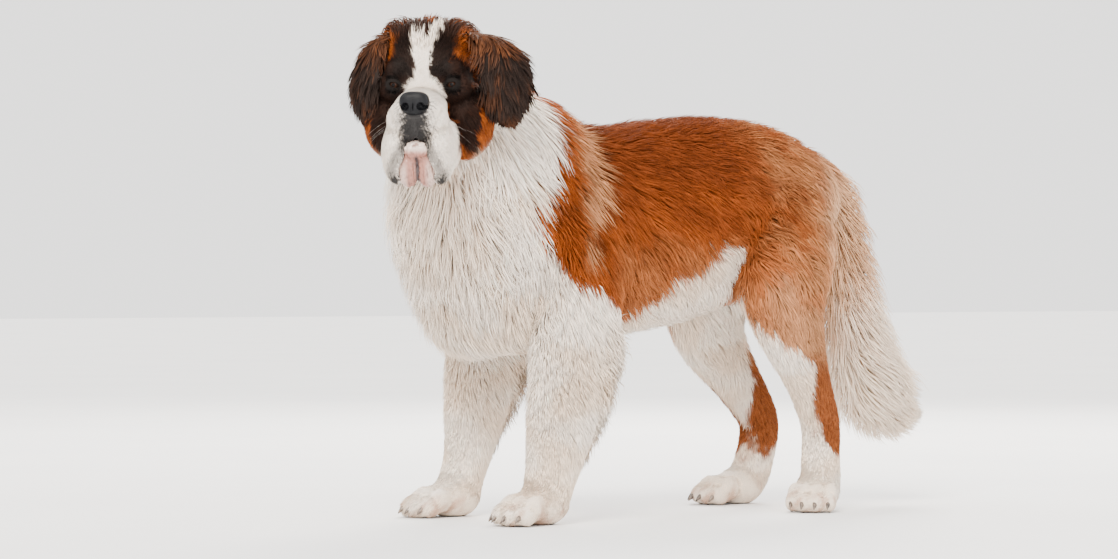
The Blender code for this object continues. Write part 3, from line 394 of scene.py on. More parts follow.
def mesh_object(name, bm):
    """Turns a bmesh into an object with its faces pointing out."""
    bmesh.ops.recalc_face_normals(bm, faces=bm.faces)
    mesh = bpy.data.meshes.new(name)
    bm.to_mesh(mesh)
    bm.free()
    return new_object(name, mesh)


def settle(obj):
    """Applies an object's modifiers to its mesh."""
    graph = bpy.context.evaluated_depsgraph_get()
    mesh = bpy.data.meshes.new_from_object(obj.evaluated_get(graph))
    obj.modifiers.clear()
    obj.data = mesh
    return obj


def melt(obj, voxel, rounds):
    """Melts overlapping shapes into one smooth closed skin."""
    remesh = obj.modifiers.new("Melt", "REMESH")
    remesh.mode = "VOXEL"
    remesh.voxel_size = voxel
    soften = obj.modifiers.new("Soften", "SMOOTH")
    soften.iterations = rounds
    return settle(obj)


def combine(obj, other, operation):
    """Joins or cuts obj with other and removes other."""
    modifier = obj.modifiers.new("Boolean", "BOOLEAN")
    modifier.operation = operation
    modifier.solver = "MANIFOLD"
    modifier.object = other
    settle(obj)
    bpy.data.objects.remove(other)
    return obj


def blob(bm, centre, radii, turn=Matrix(), sides=32):
    """Adds an ellipsoid, with its radii along X, Y and Z before it is turned."""
    ball = bmesh.ops.create_uvsphere(bm, u_segments=sides, v_segments=sides * 2 // 3, radius=1.0)
    place = Matrix.Translation(centre) @ turn @ Matrix.Diagonal((*radii, 1.0))
    bmesh.ops.transform(bm, matrix=place, verts=ball["verts"])


def blobs(bm, table, share):
    """Adds a table's ellipsoids out to a share of their coat, on both sides where it says so."""
    for (x, y, z), radii, both, coat in table:
        for side in (1, -1) if both else (1,):
            blob(bm, Vector((x, side * y, z)), [r - coat * (1 - share) for r in radii])


def rim_of(ring):
    """The edges of a new ring of points."""
    return list({edge for vert in ring for edge in vert.link_edges})


def close_tube(bm, rims):
    """Joins rings into a tube and caps both its ends."""
    for low, high in zip(rims, rims[1:]):
        bmesh.ops.bridge_loops(bm, edges=low + high)
    for rim in (rims[0], rims[-1]):
        bmesh.ops.contextual_create(bm, geom=rim)


def loft(bm, run, sides=28):
    """Adds a closed tube of ellipses along rows of x, y, z, half depth and half width."""
    centres = [Vector(row[:3]) for row in run]
    rims = []
    for i, (centre, row) in enumerate(zip(centres, run)):
        ahead = (centres[min(i + 1, len(centres) - 1)] - centres[max(i - 1, 0)]).normalized()
        deep = Vector((0.0, 1.0, 0.0)).cross(ahead).normalized()
        wide = ahead.cross(deep)
        turn = Matrix((deep * row[3], wide * row[4], ahead)).transposed().to_4x4()
        ring = bmesh.ops.create_circle(bm, segments=sides, radius=1.0)["verts"]
        bmesh.ops.transform(bm, matrix=Matrix.Translation(centre) @ turn, verts=ring)
        rims.append(rim_of(ring))
    close_tube(bm, rims)


def limb(bm, stations, share):
    """Adds a limb through its stations, out to this share of its coat."""
    rows = [(*point, depth - coat * (1 - share), width - coat * (1 - share))
            for point, depth, width, coat in stations]
    loft(bm, smooth_run(rows, 4))


def trunk(bm, share):
    """Adds the trunk, out to this share of its coat."""
    rows = [(x, 0.0, (top + bottom) / 2, (top - bottom) / 2 - coat * (1 - share),
             half - coat * (1 - share)) for x, top, bottom, half, coat in TRUNK]
    loft(bm, smooth_run(rows, 3), sides=36)


def paw(bm, middle, toes_left, coat):
    """Adds a paw: its pad and wrist side, and four arched toes in a fan."""
    turn = Matrix.Rotation(math.radians(toes_left), 4, "Z")
    place = Matrix.Translation((*middle, 0.0)) @ turn
    half = PAW_WIDTH / 2
    blob(bm, place @ Vector((0.020, 0.0, 0.032)), (0.054 - coat, half * 0.88 - coat, 0.036), turn)
    for across, reach in TOES:
        knuckle = place @ Vector((-0.006 - reach, across * half * 0.86, 0.032))
        blob(bm, knuckle, (0.024 - coat, 0.0165 - coat, 0.026 - coat), turn)
        tip = place @ Vector((-0.028 - reach, across * half * 0.90, 0.019))
        blob(bm, tip, (0.023 - coat, 0.0160 - coat, 0.021 - coat), turn)


def head_place():
    """The head's frame: +X looks along the face, turned to the dog's left and a little down."""
    face = Matrix.Rotation(math.pi + HEAD_TURN, 4, "Z") @ Matrix.Rotation(-HEAD_RAISE, 4, "Y")
    return Matrix.Translation(EYE_MIDDLE) @ face


def ear(bm, name, share):
    """Adds an ear flap hung from the skull: a leaf that bulges outside and is cupped inside."""
    spread = EAR_SPREADS[name].normalized()
    out = spread.cross(Vector((0.0, 0.0, 1.0)))
    if out.y * spread.y < 0:
        out = -out
    rims = []
    for x, y, z, width, thick in smooth_run([(*p, w, t) for p, w, t in EARS[name]], 4):
        ring = bmesh.ops.create_circle(bm, segments=28, radius=1.0)["verts"]
        for vert in ring:
            across, bulge = vert.co.x, vert.co.y
            hollow = 0.5 * (1 - across ** 2) if bulge < 0 else 0.0
            vert.co = (Vector((x, y, z)) + spread * (width - 0.010 * (1 - share)) * across
                       + out * thick * (bulge * (1 - hollow) * (0.45 + 0.55 * share)
                                        + 0.6 * (1 - across ** 2)))
        rims.append(rim_of(ring))
    close_tube(bm, rims)


def tree_of(obj):
    """A piece's faces, for finding the nearest of them."""
    mesh = obj.data
    return BVHTree.FromPolygons([v.co for v in mesh.vertices], [p.vertices for p in mesh.polygons])


def array_of(mesh, attribute):
    """Coordinates or normals of a mesh's points as an array."""
    values = np.empty(len(mesh.vertices) * 3, np.float32)
    mesh.vertices.foreach_get(attribute, values)
    return values.reshape(-1, 3).astype(float)


def press(mesh, points, normals, push):
    """Moves a mesh's points along their normals."""
    moved = points + normals * push[:, None]
    mesh.vertices.foreach_set("co", moved.astype(np.float32).ravel())


def finish_piece(obj, slot, *nodes):
    """Moves a finished piece to its place, and says what it rides on and replaces. Its slot is not
    used.
    """
    obj.data.transform(Matrix.Translation(PLACE))
    if not obj.data.has_custom_normals:
        obj.data.shade_smooth()
    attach(obj, "root")
    if nodes:
        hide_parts(*nodes)
    return obj


def dress(obj, material):
    """Gives a piece one material, in place of any that its cutters left."""
    obj.data.materials.clear()
    obj.data.materials.append(material)
    return obj


# Shader maths

class Wire:
    """A socket, which Python's operators feed to Math nodes."""

    def __init__(self, shader, socket):
        self.shader = shader
        self.socket = socket

    def math(self, operation, first, second):
        node = self.shader.add("ShaderNodeMath", {"operation": operation}, {0: first, 1: second})
        return Wire(self.shader, node.outputs[0])

    def __add__(self, other):
        return self.math("ADD", self, other)

    def __sub__(self, other):
        return self.math("SUBTRACT", self, other)

    def __rsub__(self, other):
        return self.math("SUBTRACT", other, self)

    def __mul__(self, other):
        return self.math("MULTIPLY", self, other)

    __radd__ = __add__
    __rmul__ = __mul__


class Shader:
    """A material whose nodes are added by name."""

    def __init__(self, name):
        self.material = bpy.data.materials.new(name)
        self.material.use_nodes = True
        self.tree = self.material.node_tree
        self.principled = self.tree.nodes["Principled BSDF"]

    def add(self, kind, settings, inputs):
        node = self.tree.nodes.new(kind)
        for key, value in settings.items():
            setattr(node, key, value)
        for key, value in inputs.items():
            self.feed(node.inputs[key], value)
        return node

    def feed(self, socket, value):
        if isinstance(value, Wire):
            self.tree.links.new(value.socket, socket)
        else:
            socket.default_value = value

    def set(self, **inputs):
        for key, value in inputs.items():
            self.feed(self.principled.inputs[key.replace("_", " ")], value)

    def place(self):
        return Wire(self, self.add("ShaderNodeTexCoord", {}, {}).outputs["Object"])

    def noise(self, scale, detail=3.0):
        node = self.add("ShaderNodeTexNoise", {}, {"Vector": self.place(), "Scale": scale,
                                                   "Detail": detail})
        return Wire(self, node.outputs["Fac"])

    def attribute(self, name, output="Color"):
        node = self.add("ShaderNodeAttribute", {"attribute_name": name}, {})
        return Wire(self, node.outputs[output])

    def ramp(self, factor, stops):
        node = self.add("ShaderNodeValToRGB", {}, {"Fac": factor})
        elements = node.color_ramp.elements
        while len(elements) < len(stops):
            elements.new(0.5)
        for element, (at, colour) in zip(elements, stops):
            element.position = at
            element.color = (*colour, 1.0)
        return Wire(self, node.outputs["Color"])

    def mix(self, factor, first, second, blend="MIX"):
        node = self.add("ShaderNodeMix", {"data_type": "RGBA", "blend_type": blend},
                        {0: factor, 6: first, 7: second})
        return Wire(self, node.outputs[2])

    def vector(self, operation, first, second):
        node = self.add("ShaderNodeVectorMath", {"operation": operation}, {0: first, 1: second})
        return Wire(self, node.outputs["Vector"])

    def bump(self, height, strength, distance):
        node = self.add("ShaderNodeBump", {}, {"Height": height, "Strength": strength,
                                               "Distance": distance})
        return Wire(self, node.outputs["Normal"])


def hair_material():
    """The coat's finish, tinted by each tuft's own colour."""
    if "hair" in bpy.data.materials:
        return bpy.data.materials["hair"]
    shader = Shader("hair")
    strand = shader.vector("MULTIPLY", shader.attribute("strand", "Vector"), (3.2, 1.3, 47.0))
    streaks = shader.add("ShaderNodeTexNoise", {}, {"Vector": strand, "Scale": 1.0, "Detail": 2.0})
    streaks = Wire(shader, streaks.outputs["Fac"])
    lines = shader.ramp(streaks, ((0.36, (0.40, 0.36, 0.34)), (0.62, (1.0, 1.0, 1.0))))
    depth = shader.attribute("tint", "Alpha")
    shade = shader.mix(depth, shader.attribute("tint"), lines, blend="MULTIPLY")
    shader.set(Base_Color=shade, Roughness=0.62, Specular_IOR_Level=0.06,
               Normal=shader.bump(streaks, 0.6, 0.0008))
    return shader.material


def skin_material():
    """The skin under the coat and where it is nearly bare."""
    shader = Shader("skin")
    grain = shader.noise(420.0)
    shade = shader.mix(grain * 0.35, shader.attribute("tint"), (0.0, 0.0, 0.0, 1.0))
    shader.set(Base_Color=shade, Roughness=0.75, Specular_IOR_Level=0.12,
               Normal=shader.bump(grain, 0.5, 0.002))
    return shader.material


# Markings, the same on the skin and the coat

def ease(low, high, value):
    """0 below low, 1 above high, smooth between."""
    t = np.clip((value - low) / (high - low), 0.0, 1.0)
    return t * t * (3 - 2 * t)


def wander(points, size, seed):
    """A smooth noise of about -1 to 1 over space, with features of this size."""
    draw = np.random.RandomState(seed)
    total = np.zeros(len(points))
    for _ in range(7):
        way = draw.normal(size=3)
        way *= math.tau / (size * np.linalg.norm(way)) * draw.uniform(0.6, 1.5)
        total += np.sin(points @ way + draw.uniform(0, math.tau))
    return total / 3.0


def edge(table, value):
    """The other coordinate of a boundary at a given one."""
    table = np.array(table)
    return np.interp(value, table[:, 0], table[:, 1])


def over(colour, new, mask):
    """Lays a new colour over the old where the mask says so."""
    return colour + (new - colour) * mask[:, None]


def plain(colour, points):
    """One colour for every point."""
    return np.tile(colour, (len(points), 1))


def palette():
    """The settings' colours as arrays."""
    group = bpy.context.scene.dog_colours
    return SimpleNamespace(**{key: np.array(getattr(group, key))
                              for key in CoatColours.__annotations__})


def head_points(points):
    """Points in the head's frame."""
    inverse = np.array(head_place().inverted())
    return points @ inverse[:3, :3].T + inverse[:3, 3]


def body_markings(points, normals, colours):
    """Collar, shoulder patch, blanket, thighs and tail."""
    x, y, z = points.T
    jitter = wander(points, 0.05, 1) * 0.007 + wander(points, 0.018, 2) * 0.004
    right = ease(-0.02, 0.02, y)
    jitter = jitter + right * wander(points, 0.22, 3) * 0.022
    soft = 0.006

    # White, with cream painted in as shade where it faces down and under the chin; it is also
    # creamier low down and at random
    shade = wander(points, 0.12, 4) + 0.9 * ease(0.5, 0.1, z) + 0.5 * ease(0.2, -0.6, normals[:, 2])
    shade = ease(0.2, 1.2, shade)
    # Painted shade: cream under the chin
    from_chin = np.linalg.norm(points - np.array((-0.52, -0.08, 0.56)), axis=1)
    chin_shade = ease(0.20, 0.05, from_chin)
    base = over(plain(colours.white, points), colours.cream, 0.42 * np.maximum(shade, 0.8 * chin_shade))

    # Where the coloured coat covers it
    patch = ease(-soft, soft, x - edge(COLLAR_EDGE, z) + jitter)
    patch *= ease(-soft, soft, z - edge(BLANKET_EDGE, x) + jitter)
    patch *= 1 - ease(0.137, 0.147, x)
    thigh = ease(0.137, 0.147, x) * ease(-soft, soft, x - edge(THIGH_EDGE, z) + jitter)
    thigh *= ease(0.106, 0.128, z + jitter)
    inward = -normals[:, 1] * np.sign(y)
    low = ease(0.50, 0.44, z)
    inner = ease(-0.40, -0.10, inward) * ease(-0.02, 0.02, y) * low
    inner = np.maximum(inner, ease(0.2, 0.5, inward) * low)
    stripe = x - 0.6 * (0.30 - z) * ease(0.15, 0.02, np.abs(y)) + jitter
    stripe = ease(0.350, 0.362, stripe) * ease(0.34, 0.30, z)
    thigh *= 1 - inner * (1 - stripe)
    strip = ease(0.060, 0.045, np.abs(y + 0.012) + jitter)
    strip = strip * ease(-0.43, -0.40, x) * ease(0.72, 0.74, z)
    cover = np.clip(patch + thigh + strip, 0, 1)

    # Its reds: dark along the back, gold low on the ribs, tan on the haunches, with painted shade
    # in the flank's folds and between the haunch's curls
    dark = ease(0.50, 0.66, z + wander(points, 0.11, 5) * 0.05)
    dark = dark * ease(-0.22, -0.17, x) * ease(0.30, 0.10, x)
    dark = np.maximum(dark, ease(0.70, 0.74, z) * ease(-0.2, -0.1, x) * ease(0.34, 0.24, x) * 0.8)
    dark = np.maximum(dark, 0.8 * ease(0.1, 1.1, wander(points, 0.075, 17)) * ease(0.16, 0.08, x))
    red = over(plain(colours.orange, points), colours.mahogany, 0.85 * dark)
    gold = ease(0.56, 0.46, z + wander(points, 0.09, 24) * 0.03) * ease(-0.20, -0.14, x)
    red = over(red, colours.orange * 0.5 + colours.tan * 0.75, 0.65 * gold)
    haunch = ease(0.13, 0.30, x + wander(points, 0.10, 6) * 0.03)
    red = over(red, colours.tan, 0.85 * haunch)
    # Painted shade: orange in patches in the flank's folds, over the tan
    folds = ease(0.3, 1.0, wander(points, 0.075, 7)) * ease(0.05, 0.20, x) * ease(0.34, 0.44, z)
    red = over(red, colours.orange, 0.6 * folds)
    # Painted shade: mahogany in the hollows between the haunch's curls
    curl_shade = ease(0.2, 1.0, wander(points, 0.040, 18)) * ease(0.15, 0.21, x) * ease(0.36, 0.31, x)
    red = over(red, colours.mahogany * 1.4, 0.65 * curl_shade * ease(0.42, 0.48, z))
    blond = ease(0.50, 0.40, z + wander(points, 0.06, 25) * 0.03) * ease(0.14, 0.22, x)
    red = over(red, colours.tan * 0.7 + colours.cream * 0.25, 0.6 * blond)
    leg = ease(0.34, 0.27, z) * ease(0.15, 0.25, x)
    red = over(red, colours.orange * 0.85, 0.8 * leg)

    # The pale band behind the shoulder, and a painted shadow beside it where the band's hair lies
    # over the blanket
    band_left = -0.243 + wander(points, 0.06, 8) * 0.006
    band_right = edge(BAND_EDGE, z) + wander(points, 0.03, 9) * 0.008
    upper = ease(0.45, 0.52, z)
    band = ease(-0.010, 0.014, x - band_left) * ease(0.008, -0.004, x - band_right) * upper
    red = over(red, colours.tan * 0.9 + colours.cream * 0.14, 0.85 * band)
    # Painted shadow: mahogany along the band's rear edge
    band_shadow = ease(-0.002, 0.006, x - band_right) * ease(0.026, 0.008, x - band_right) * upper
    red = over(red, colours.mahogany * 0.7, 0.7 * band_shadow)
    base = over(base, red, cover)

    # Pale breeches, the tail and the toes
    rear = ease(0.285, 0.405, x + wander(points, 0.05, 19) * 0.015)
    rear = rear * ease(0.34, 0.42, z) * ease(0.72, 0.60, z)
    base = over(base, colours.cream * 0.80 + colours.tan * 0.25, 0.66 * rear)
    plume = ease(0.452, 0.470, x)
    back = x - 0.484 - 0.22 * (0.55 - z)
    pale = colours.white * 0.65 + colours.cream * 0.35
    tail = over(plain(colours.tan * 0.5 + colours.cream * 0.5, points), pale,
                ease(0.54, 0.38, z + wander(points, 0.05, 10) * 0.03 - 2.0 * back))
    base = over(base, tail, plume)
    toes = ease(0.060, 0.020, z) * ease(-0.1, 0.8, wander(points, 0.028, 11))
    base = over(base, colours.tan * 0.55 + colours.pink * 0.35, 0.60 * toes)
    return over(base, colours.dark, ease(0.003, 0.0015, z))


def head_markings(points, colours):
    """Blaze, mask, muzzle, crown and cheeks, in the head's frame."""
    x, y, z = head_points(points).T
    side = np.abs(y)
    jitter = wander(points, 0.022, 12) * 0.0035 + wander(points, 0.009, 13) * 0.002
    soft = 0.003

    # Orange, mottled with brown towards the crown
    orange = colours.orange * np.array((1.0, 1.1, 1.1))
    mottle = ease(-0.2, 0.9, wander(points, 0.030, 14) + 1.0 * ease(0.075, 0.12, z))
    base = over(plain(orange, points), colours.mahogany * 0.75, 0.62 * mottle)
    crown = ease(0.10, 0.03, np.abs(side - 0.072)) * ease(0.015, 0.06, z) * ease(-0.12, -0.03, x)
    base = over(base, orange, 0.6 * crown)

    # The dark mask: round the eyes, down the cheeks, over the brows and on the forehead
    eye_gap = np.sqrt(((side - 0.047) / 0.036) ** 2 + ((z - 0.004) / 0.042) ** 2) + jitter * 20
    mask = ease(1.12, 0.88, eye_gap) * ease(-0.075, -0.045, x)
    middle = 0.066 + 0.011 * ease(-0.035, -0.105, z)
    breadth = 0.011 + 0.014 * ease(-0.105, -0.035, z)
    stripe = ease(0.004, -0.004, np.abs(side - middle) - breadth + jitter)
    stripe *= ease(0.01, -0.01, z) * ease(-0.122, -0.104, z)
    mask = np.maximum(mask, stripe * ease(-0.060, -0.040, x))
    brow = ease(0.030, 0.016, np.hypot(side - 0.030, (z - 0.050) * 0.8)) * ease(-0.06, -0.03, x)
    mask = np.maximum(mask, 0.8 * brow)
    temple = ease(0.060, 0.046, side - 0.10 * (z - 0.06) + jitter) * ease(0.004, 0.018, z)
    temple *= ease(0.112, 0.092, z + 2 * jitter) * ease(-0.095, -0.070, x)
    base = over(base, colours.dark * 2.2, 0.95 * temple)
    base = over(base, colours.dark, 0.97 * mask)

    # White: the collar's edge, the blaze with its notch, and the muzzle
    back = ease(-0.085, -0.115, x + jitter) * ease(0.040, 0.0, z)
    low = ease(-0.125, -0.142, z + jitter) * ease(0.0, -0.02, x)
    base = over(base, colours.white, np.clip(np.maximum(back, low), 0, 1))
    width = edge(BLAZE_WIDTH, z) + jitter
    notch = ease(0.004, 0.0015, np.abs(y - 0.006) - 0.22 * (z - 0.070)) * ease(0.066, 0.074, z)
    blaze = ease(soft, -soft, side - width) * ease(-0.075, -0.055, x + jitter) * (1 - notch)
    blaze *= ease(-0.03, -0.02, z) * ease(0.092, 0.082, z - 0.3 * y + 2 * jitter)
    base = over(base, colours.white, blaze)
    front = ease(0.008, 0.018, x + jitter + 0.25 * np.minimum(z + 0.03, 0))
    front = front * ease(0.008, -0.004, z + 0.25 * side + jitter)
    lips = ease(0.0, 0.012, x + jitter) * ease(-0.100, -0.125, z)
    base = over(base, colours.white, np.clip(np.maximum(front, lips), 0, 1))

    # Grey speckles under the nose and along the lips, dark spots on them, and the eyes' rims
    speck = wander(points, 0.0045, 15)
    grey = ease(0.034, 0.018, side + speck * 0.009)
    grey = grey * ease(0.060, 0.070, x) * ease(-0.026, -0.032, z)
    lip_line = np.abs(side - 0.012 - 0.55 * np.clip(-0.085 - z, 0, 0.06)) + speck * 0.004
    lip_line = ease(0.016, 0.006, lip_line) * ease(0.050, 0.065, x)
    grey = np.maximum(grey * 0.97, lip_line * ease(-0.080, -0.090, z) * 0.62)
    base = over(base, colours.grey, grey)
    spots = ease(0.012, 0.008, np.hypot(0.8 * (side - 0.042), z + 0.162) + speck * 0.004)
    base = over(base, colours.grey, 0.9 * (spots * ease(0.02, 0.04, x)))
    rims = ease(0.0190, 0.0150, np.hypot(np.hypot(side - EYE_APART, z), x * 0.8))
    return over(base, colours.dark * 0.6, rims)


def ear_markings(points, colours):
    """Dark ears that pale to brown at their roots and fringes."""
    height = head_points(points)[:, 2]
    fringe = ease(-0.035, -0.065, height) * 0.4 + ease(0.045, 0.085, height) * 0.75
    fringe = np.clip(fringe + 0.35 * ease(0.1, 0.9, wander(points, 0.035, 16)), 0, 1)
    brown = colours.tan * 0.16 + colours.mahogany * 0.25
    return over(plain(colours.dark * 2.0, points), brown, 0.75 * fringe)


def markings(points, normals, parts):
    """The coat's colour at each place, on parts 0 body, 1 head and 2 ears."""
    colours = palette()
    colour = body_markings(points, normals, colours)
    on_head = parts == 1
    h = head_points(points)
    near = np.linalg.norm(h - np.array((-0.05, 0.0, 0.0)), axis=1)
    blend = ease(0.155, 0.135, near) * on_head
    colour[on_head] = over(colour[on_head], head_markings(points[on_head], colours), blend[on_head])
    muzzle = on_head & (h[:, 0] > 0.0)
    colour[muzzle] = head_markings(points[muzzle], colours)
    on_ear = parts == 2
    colour[on_ear] = ear_markings(points[on_ear], colours)
    return colour


def parts_of(points):
    """Which part each place is on: 0 the body, 1 the head, 2 an ear."""
    h = head_points(points)
    reach = np.array((0.155, 0.125, 0.150))
    near = np.linalg.norm((h - np.array((-0.01, 0.0, -0.02))) / reach, axis=1) < 1.12
    lips = (h[:, 0] > -0.01) & (np.abs(h[:, 1]) < 0.085) & (h[:, 2] > -0.19)
    parts = (near | lips).astype(int)
    tree = made["ears"]
    for i in np.nonzero(np.abs(h[:, 1]) > 0.05)[0]:
        if np.abs(h[i]).max() < 0.20 and tree.find_nearest(points[i], 0.005)[0] is not None:
            parts[i] = 2
    return parts


def tint(mesh, colour):
    """Gives a mesh's points their colour."""
    layer = mesh.color_attributes.new("tint", "FLOAT_COLOR", "POINT")
    rgba = np.ones((len(colour), 4), np.float32)
    rgba[:, :3] = np.clip(colour, 0, 1)
    rgba[:, 3] = 0.85 - 0.70 * ease(0.20, 0.55, colour.mean(1))
    layer.data.foreach_set("color", rgba.ravel())


# Skin

def body_bmesh(share):
    """The trunk, limbs and paws as overlapping closed shapes."""
    bm = bmesh.new()
    trunk(bm, share)
    for stations in LIMBS:
        limb(bm, stations, share)
    for _, middle, toes_left in PAWS:
        paw(bm, middle, toes_left, 0.003 * (1 - share))
    return bm


def head_bmesh(share):
    """The head and ears, in the head's frame."""
    bm = bmesh.new()
    blobs(bm, HEAD_BLOBS, share)
    for name in EARS:
        ear(bm, name, share)
    return bm


def mouth_wedge():
    """The notch under the nose, where the hanging lips part."""
    bm = bmesh.new()
    rows = ((0.0, -0.088), (0.034, -0.150), (0.010, -0.200), (-0.010, -0.200), (-0.034, -0.150))
    ring = bmesh.ops.create_circle(bm, cap_ends=True, segments=len(rows), radius=1.0)["verts"]
    for vert, (y, z) in zip(ring, rows):
        vert.co = (0.050, y, z)
    front = bmesh.ops.extrude_face_region(bm, geom=list(bm.faces))["geom"]
    moved = [item for item in front if isinstance(item, bmesh.types.BMVert)]
    bmesh.ops.translate(bm, vec=(0.080, 0.0, 0.0), verts=moved)
    bmesh.ops.bevel(bm, geom=list(bm.edges), offset=0.006, offset_type="OFFSET", segments=3,
                    profile=0.5, affect="EDGES", material=-1)
    return mesh_object("wedge", bm)


def ball(name, centre, radii, turn=Matrix(), sides=40):
    """An ellipsoid as an object, to join or cut with."""
    bm = bmesh.new()
    blob(bm, centre, radii, turn, sides)
    return mesh_object(name, bm)


def fold_face(mesh):
    """Presses the face's furrow and folds into its skin."""
    points, normals = array_of(mesh, "co"), array_of(mesh, "normal")
    x, y, z = points.T
    side = np.abs(y)
    push = -0.004 * ease(0.010, 0.0, side) * ease(0.0, 0.02, z) * ease(0.10, 0.08, z)
    crease = -0.003 * ease(0.004, 0.0, np.abs(side - 0.042 - 0.3 * (z + 0.05)))
    push += crease * ease(-0.03, -0.06, z) * ease(-0.01, 0.01, x)
    press(mesh, points, normals, push)


def tree_and_remove(name, bm):
    """The faces of a shape that is only there to measure from."""
    obj = mesh_object(name, bm)
    tree = tree_of(obj)
    bpy.data.objects.remove(obj)
    return tree


def measure_coat():
    """The outer face of the whole coat, out to the tips."""
    tips = bmesh.new()
    body = melt(mesh_object("outer", body_bmesh(1.0)), OUTER_GRAIN, 8)
    tips.from_mesh(body.data)
    crown = melt(mesh_object("outer_head", head_bmesh(1.0)), OUTER_HEAD_GRAIN, 3)
    crown.data.transform(head_place())
    tips.from_mesh(crown.data)
    bpy.data.objects.remove(body)
    bpy.data.objects.remove(crown)
    return tree_and_remove("outer", tips)


def measure_ears(share):
    """The faces of both ears, out to this share of their hair."""
    flaps = bmesh.new()
    for name in EARS:
        ear(flaps, name, share)
    bmesh.ops.transform(flaps, matrix=head_place(), verts=flaps.verts)
    return tree_and_remove("flaps", flaps)


def head_skin(share, voxel, eye_radius):
    """The head with its ears, mouth, folds, lids and sockets."""
    head = melt(mesh_object("head_skin", head_bmesh(share * 0.5)), voxel, 9)
    combine(head, mouth_wedge(), "DIFFERENCE")
    fold_face(head.data)
    for side in (1, -1):
        spot = Vector((-0.0015, side * EYE_APART, -0.0005))
        combine(head, ball("lids", spot, LID_RADII), "UNION")
    melt(head, voxel, 3)
    for side in (1, -1):
        droop = Matrix.Rotation(math.radians(side * OPENING_DROOP), 4, "X")
        spot = Vector((0.016, side * (EYE_APART - 0.0005), -0.0010))
        combine(head, ball("opening", spot, OPENING_RADII, droop), "DIFFERENCE")
        spot = Vector((-0.002, side * EYE_APART, 0.0))
        combine(head, ball("socket", spot, [eye_radius + SOCKET_GAP] * 3), "DIFFERENCE")
    head.data.transform(head_place())
    return head


def build_skin(settings):
    """One skin for the whole dog, flat under its soles, with its markings."""
    share = settings.share
    made["outer"] = measure_coat()
    made["ears"] = measure_ears(share)
    head = head_skin(share, settings.head_voxel, settings.eye_radius)
    skin = melt(mesh_object("skin", body_bmesh(share)), settings.body_voxel, 6)
    combine(skin, head, "UNION")
    bm = bmesh.new()
    bm.from_mesh(skin.data)
    bmesh.ops.bisect_plane(bm, geom=[*bm.verts, *bm.edges, *bm.faces], dist=1e-6,
                           plane_co=(0.0, 0.0, SOLE_HEIGHT), plane_no=(0.0, 0.0, -1.0),
                           clear_outer=True)
    bmesh.ops.holes_fill(bm, edges=[edge for edge in bm.edges if edge.is_boundary])
    bmesh.ops.triangulate(bm, faces=[face for face in bm.faces if len(face.verts) > 4])
    bm.to_mesh(skin.data)
    bm.free()
    made["skin"] = tree_of(skin)
    mesh = skin.data
    points, normals = array_of(mesh, "co"), array_of(mesh, "normal")
    made["parts"] = parts_of(points)
    tint(mesh, markings(points, normals, made["parts"]) * 0.92)
    return dress(skin, skin_material())


# Coat

def lie_table(rows):
    """A table of the lie as arrays of places, directions and sizes, both sides written out."""
    places, ways, sizes = [], [], []
    for (x, y, z), (dx, dy, dz), both, *size in rows:
        for side in (1, -1) if both else (1,):
            places.append((x, side * y, z))
            ways.append((dx, side * dy, dz))
            sizes.append(size)
    ways = np.array(ways, float)
    return np.array(places), ways / np.linalg.norm(ways, axis=1)[:, None], np.array(sizes)


def lie_at(points, normals, parts):
    """The way the hair lies at each place, along the skin, and its length, width, draw and wave."""
    ways = np.zeros((len(points), 3))
    sizes = np.zeros((len(points), 4))
    turn = np.array(head_place().to_3x3())
    for part, rows in ((0, LIE), (1, HEAD_LIE)):
        chosen = np.nonzero(parts == part)[0]
        places, directions, table = lie_table(rows)
        spots = points[chosen] if part == 0 else head_points(points[chosen])
        for begin in range(0, len(chosen), 20000):
            some = chosen[begin:begin + 20000]
            gap = spots[begin:begin + 20000, None, :] - places[None]
            weight = 1.0 / ((gap ** 2).sum(2) + 1e-5) ** 2
            weight /= weight.sum(1)[:, None]
            way = weight @ directions
            ways[some] = way if part == 0 else way @ turn.T
            sizes[some] = weight @ table
    on_ear = parts == 2
    h = head_points(points)
    for name, spread in EAR_SPREADS.items():
        mine = on_ear & ((h[:, 1] > 0) == (spread.y > 0))
        axis = np.array(spread.normalized())
        across = (h[mine] - np.array(EARS[name][2][0])) @ axis
        aside = np.clip(across / 0.05, -0.15, 1.0) * 0.75
        way = np.outer(aside, axis) + np.array((-0.15, 0.0, -1.0))
        ways[mine] = way @ turn.T
    sizes[on_ear] = EAR_HAIR
    sizes[on_ear, 0] *= 0.45 + 0.55 * ease(-0.065, 0.0, h[on_ear, 2])
    ways -= normals * (ways * normals).sum(1)[:, None]
    return ways / (np.linalg.norm(ways, axis=1)[:, None] + 1e-9), sizes


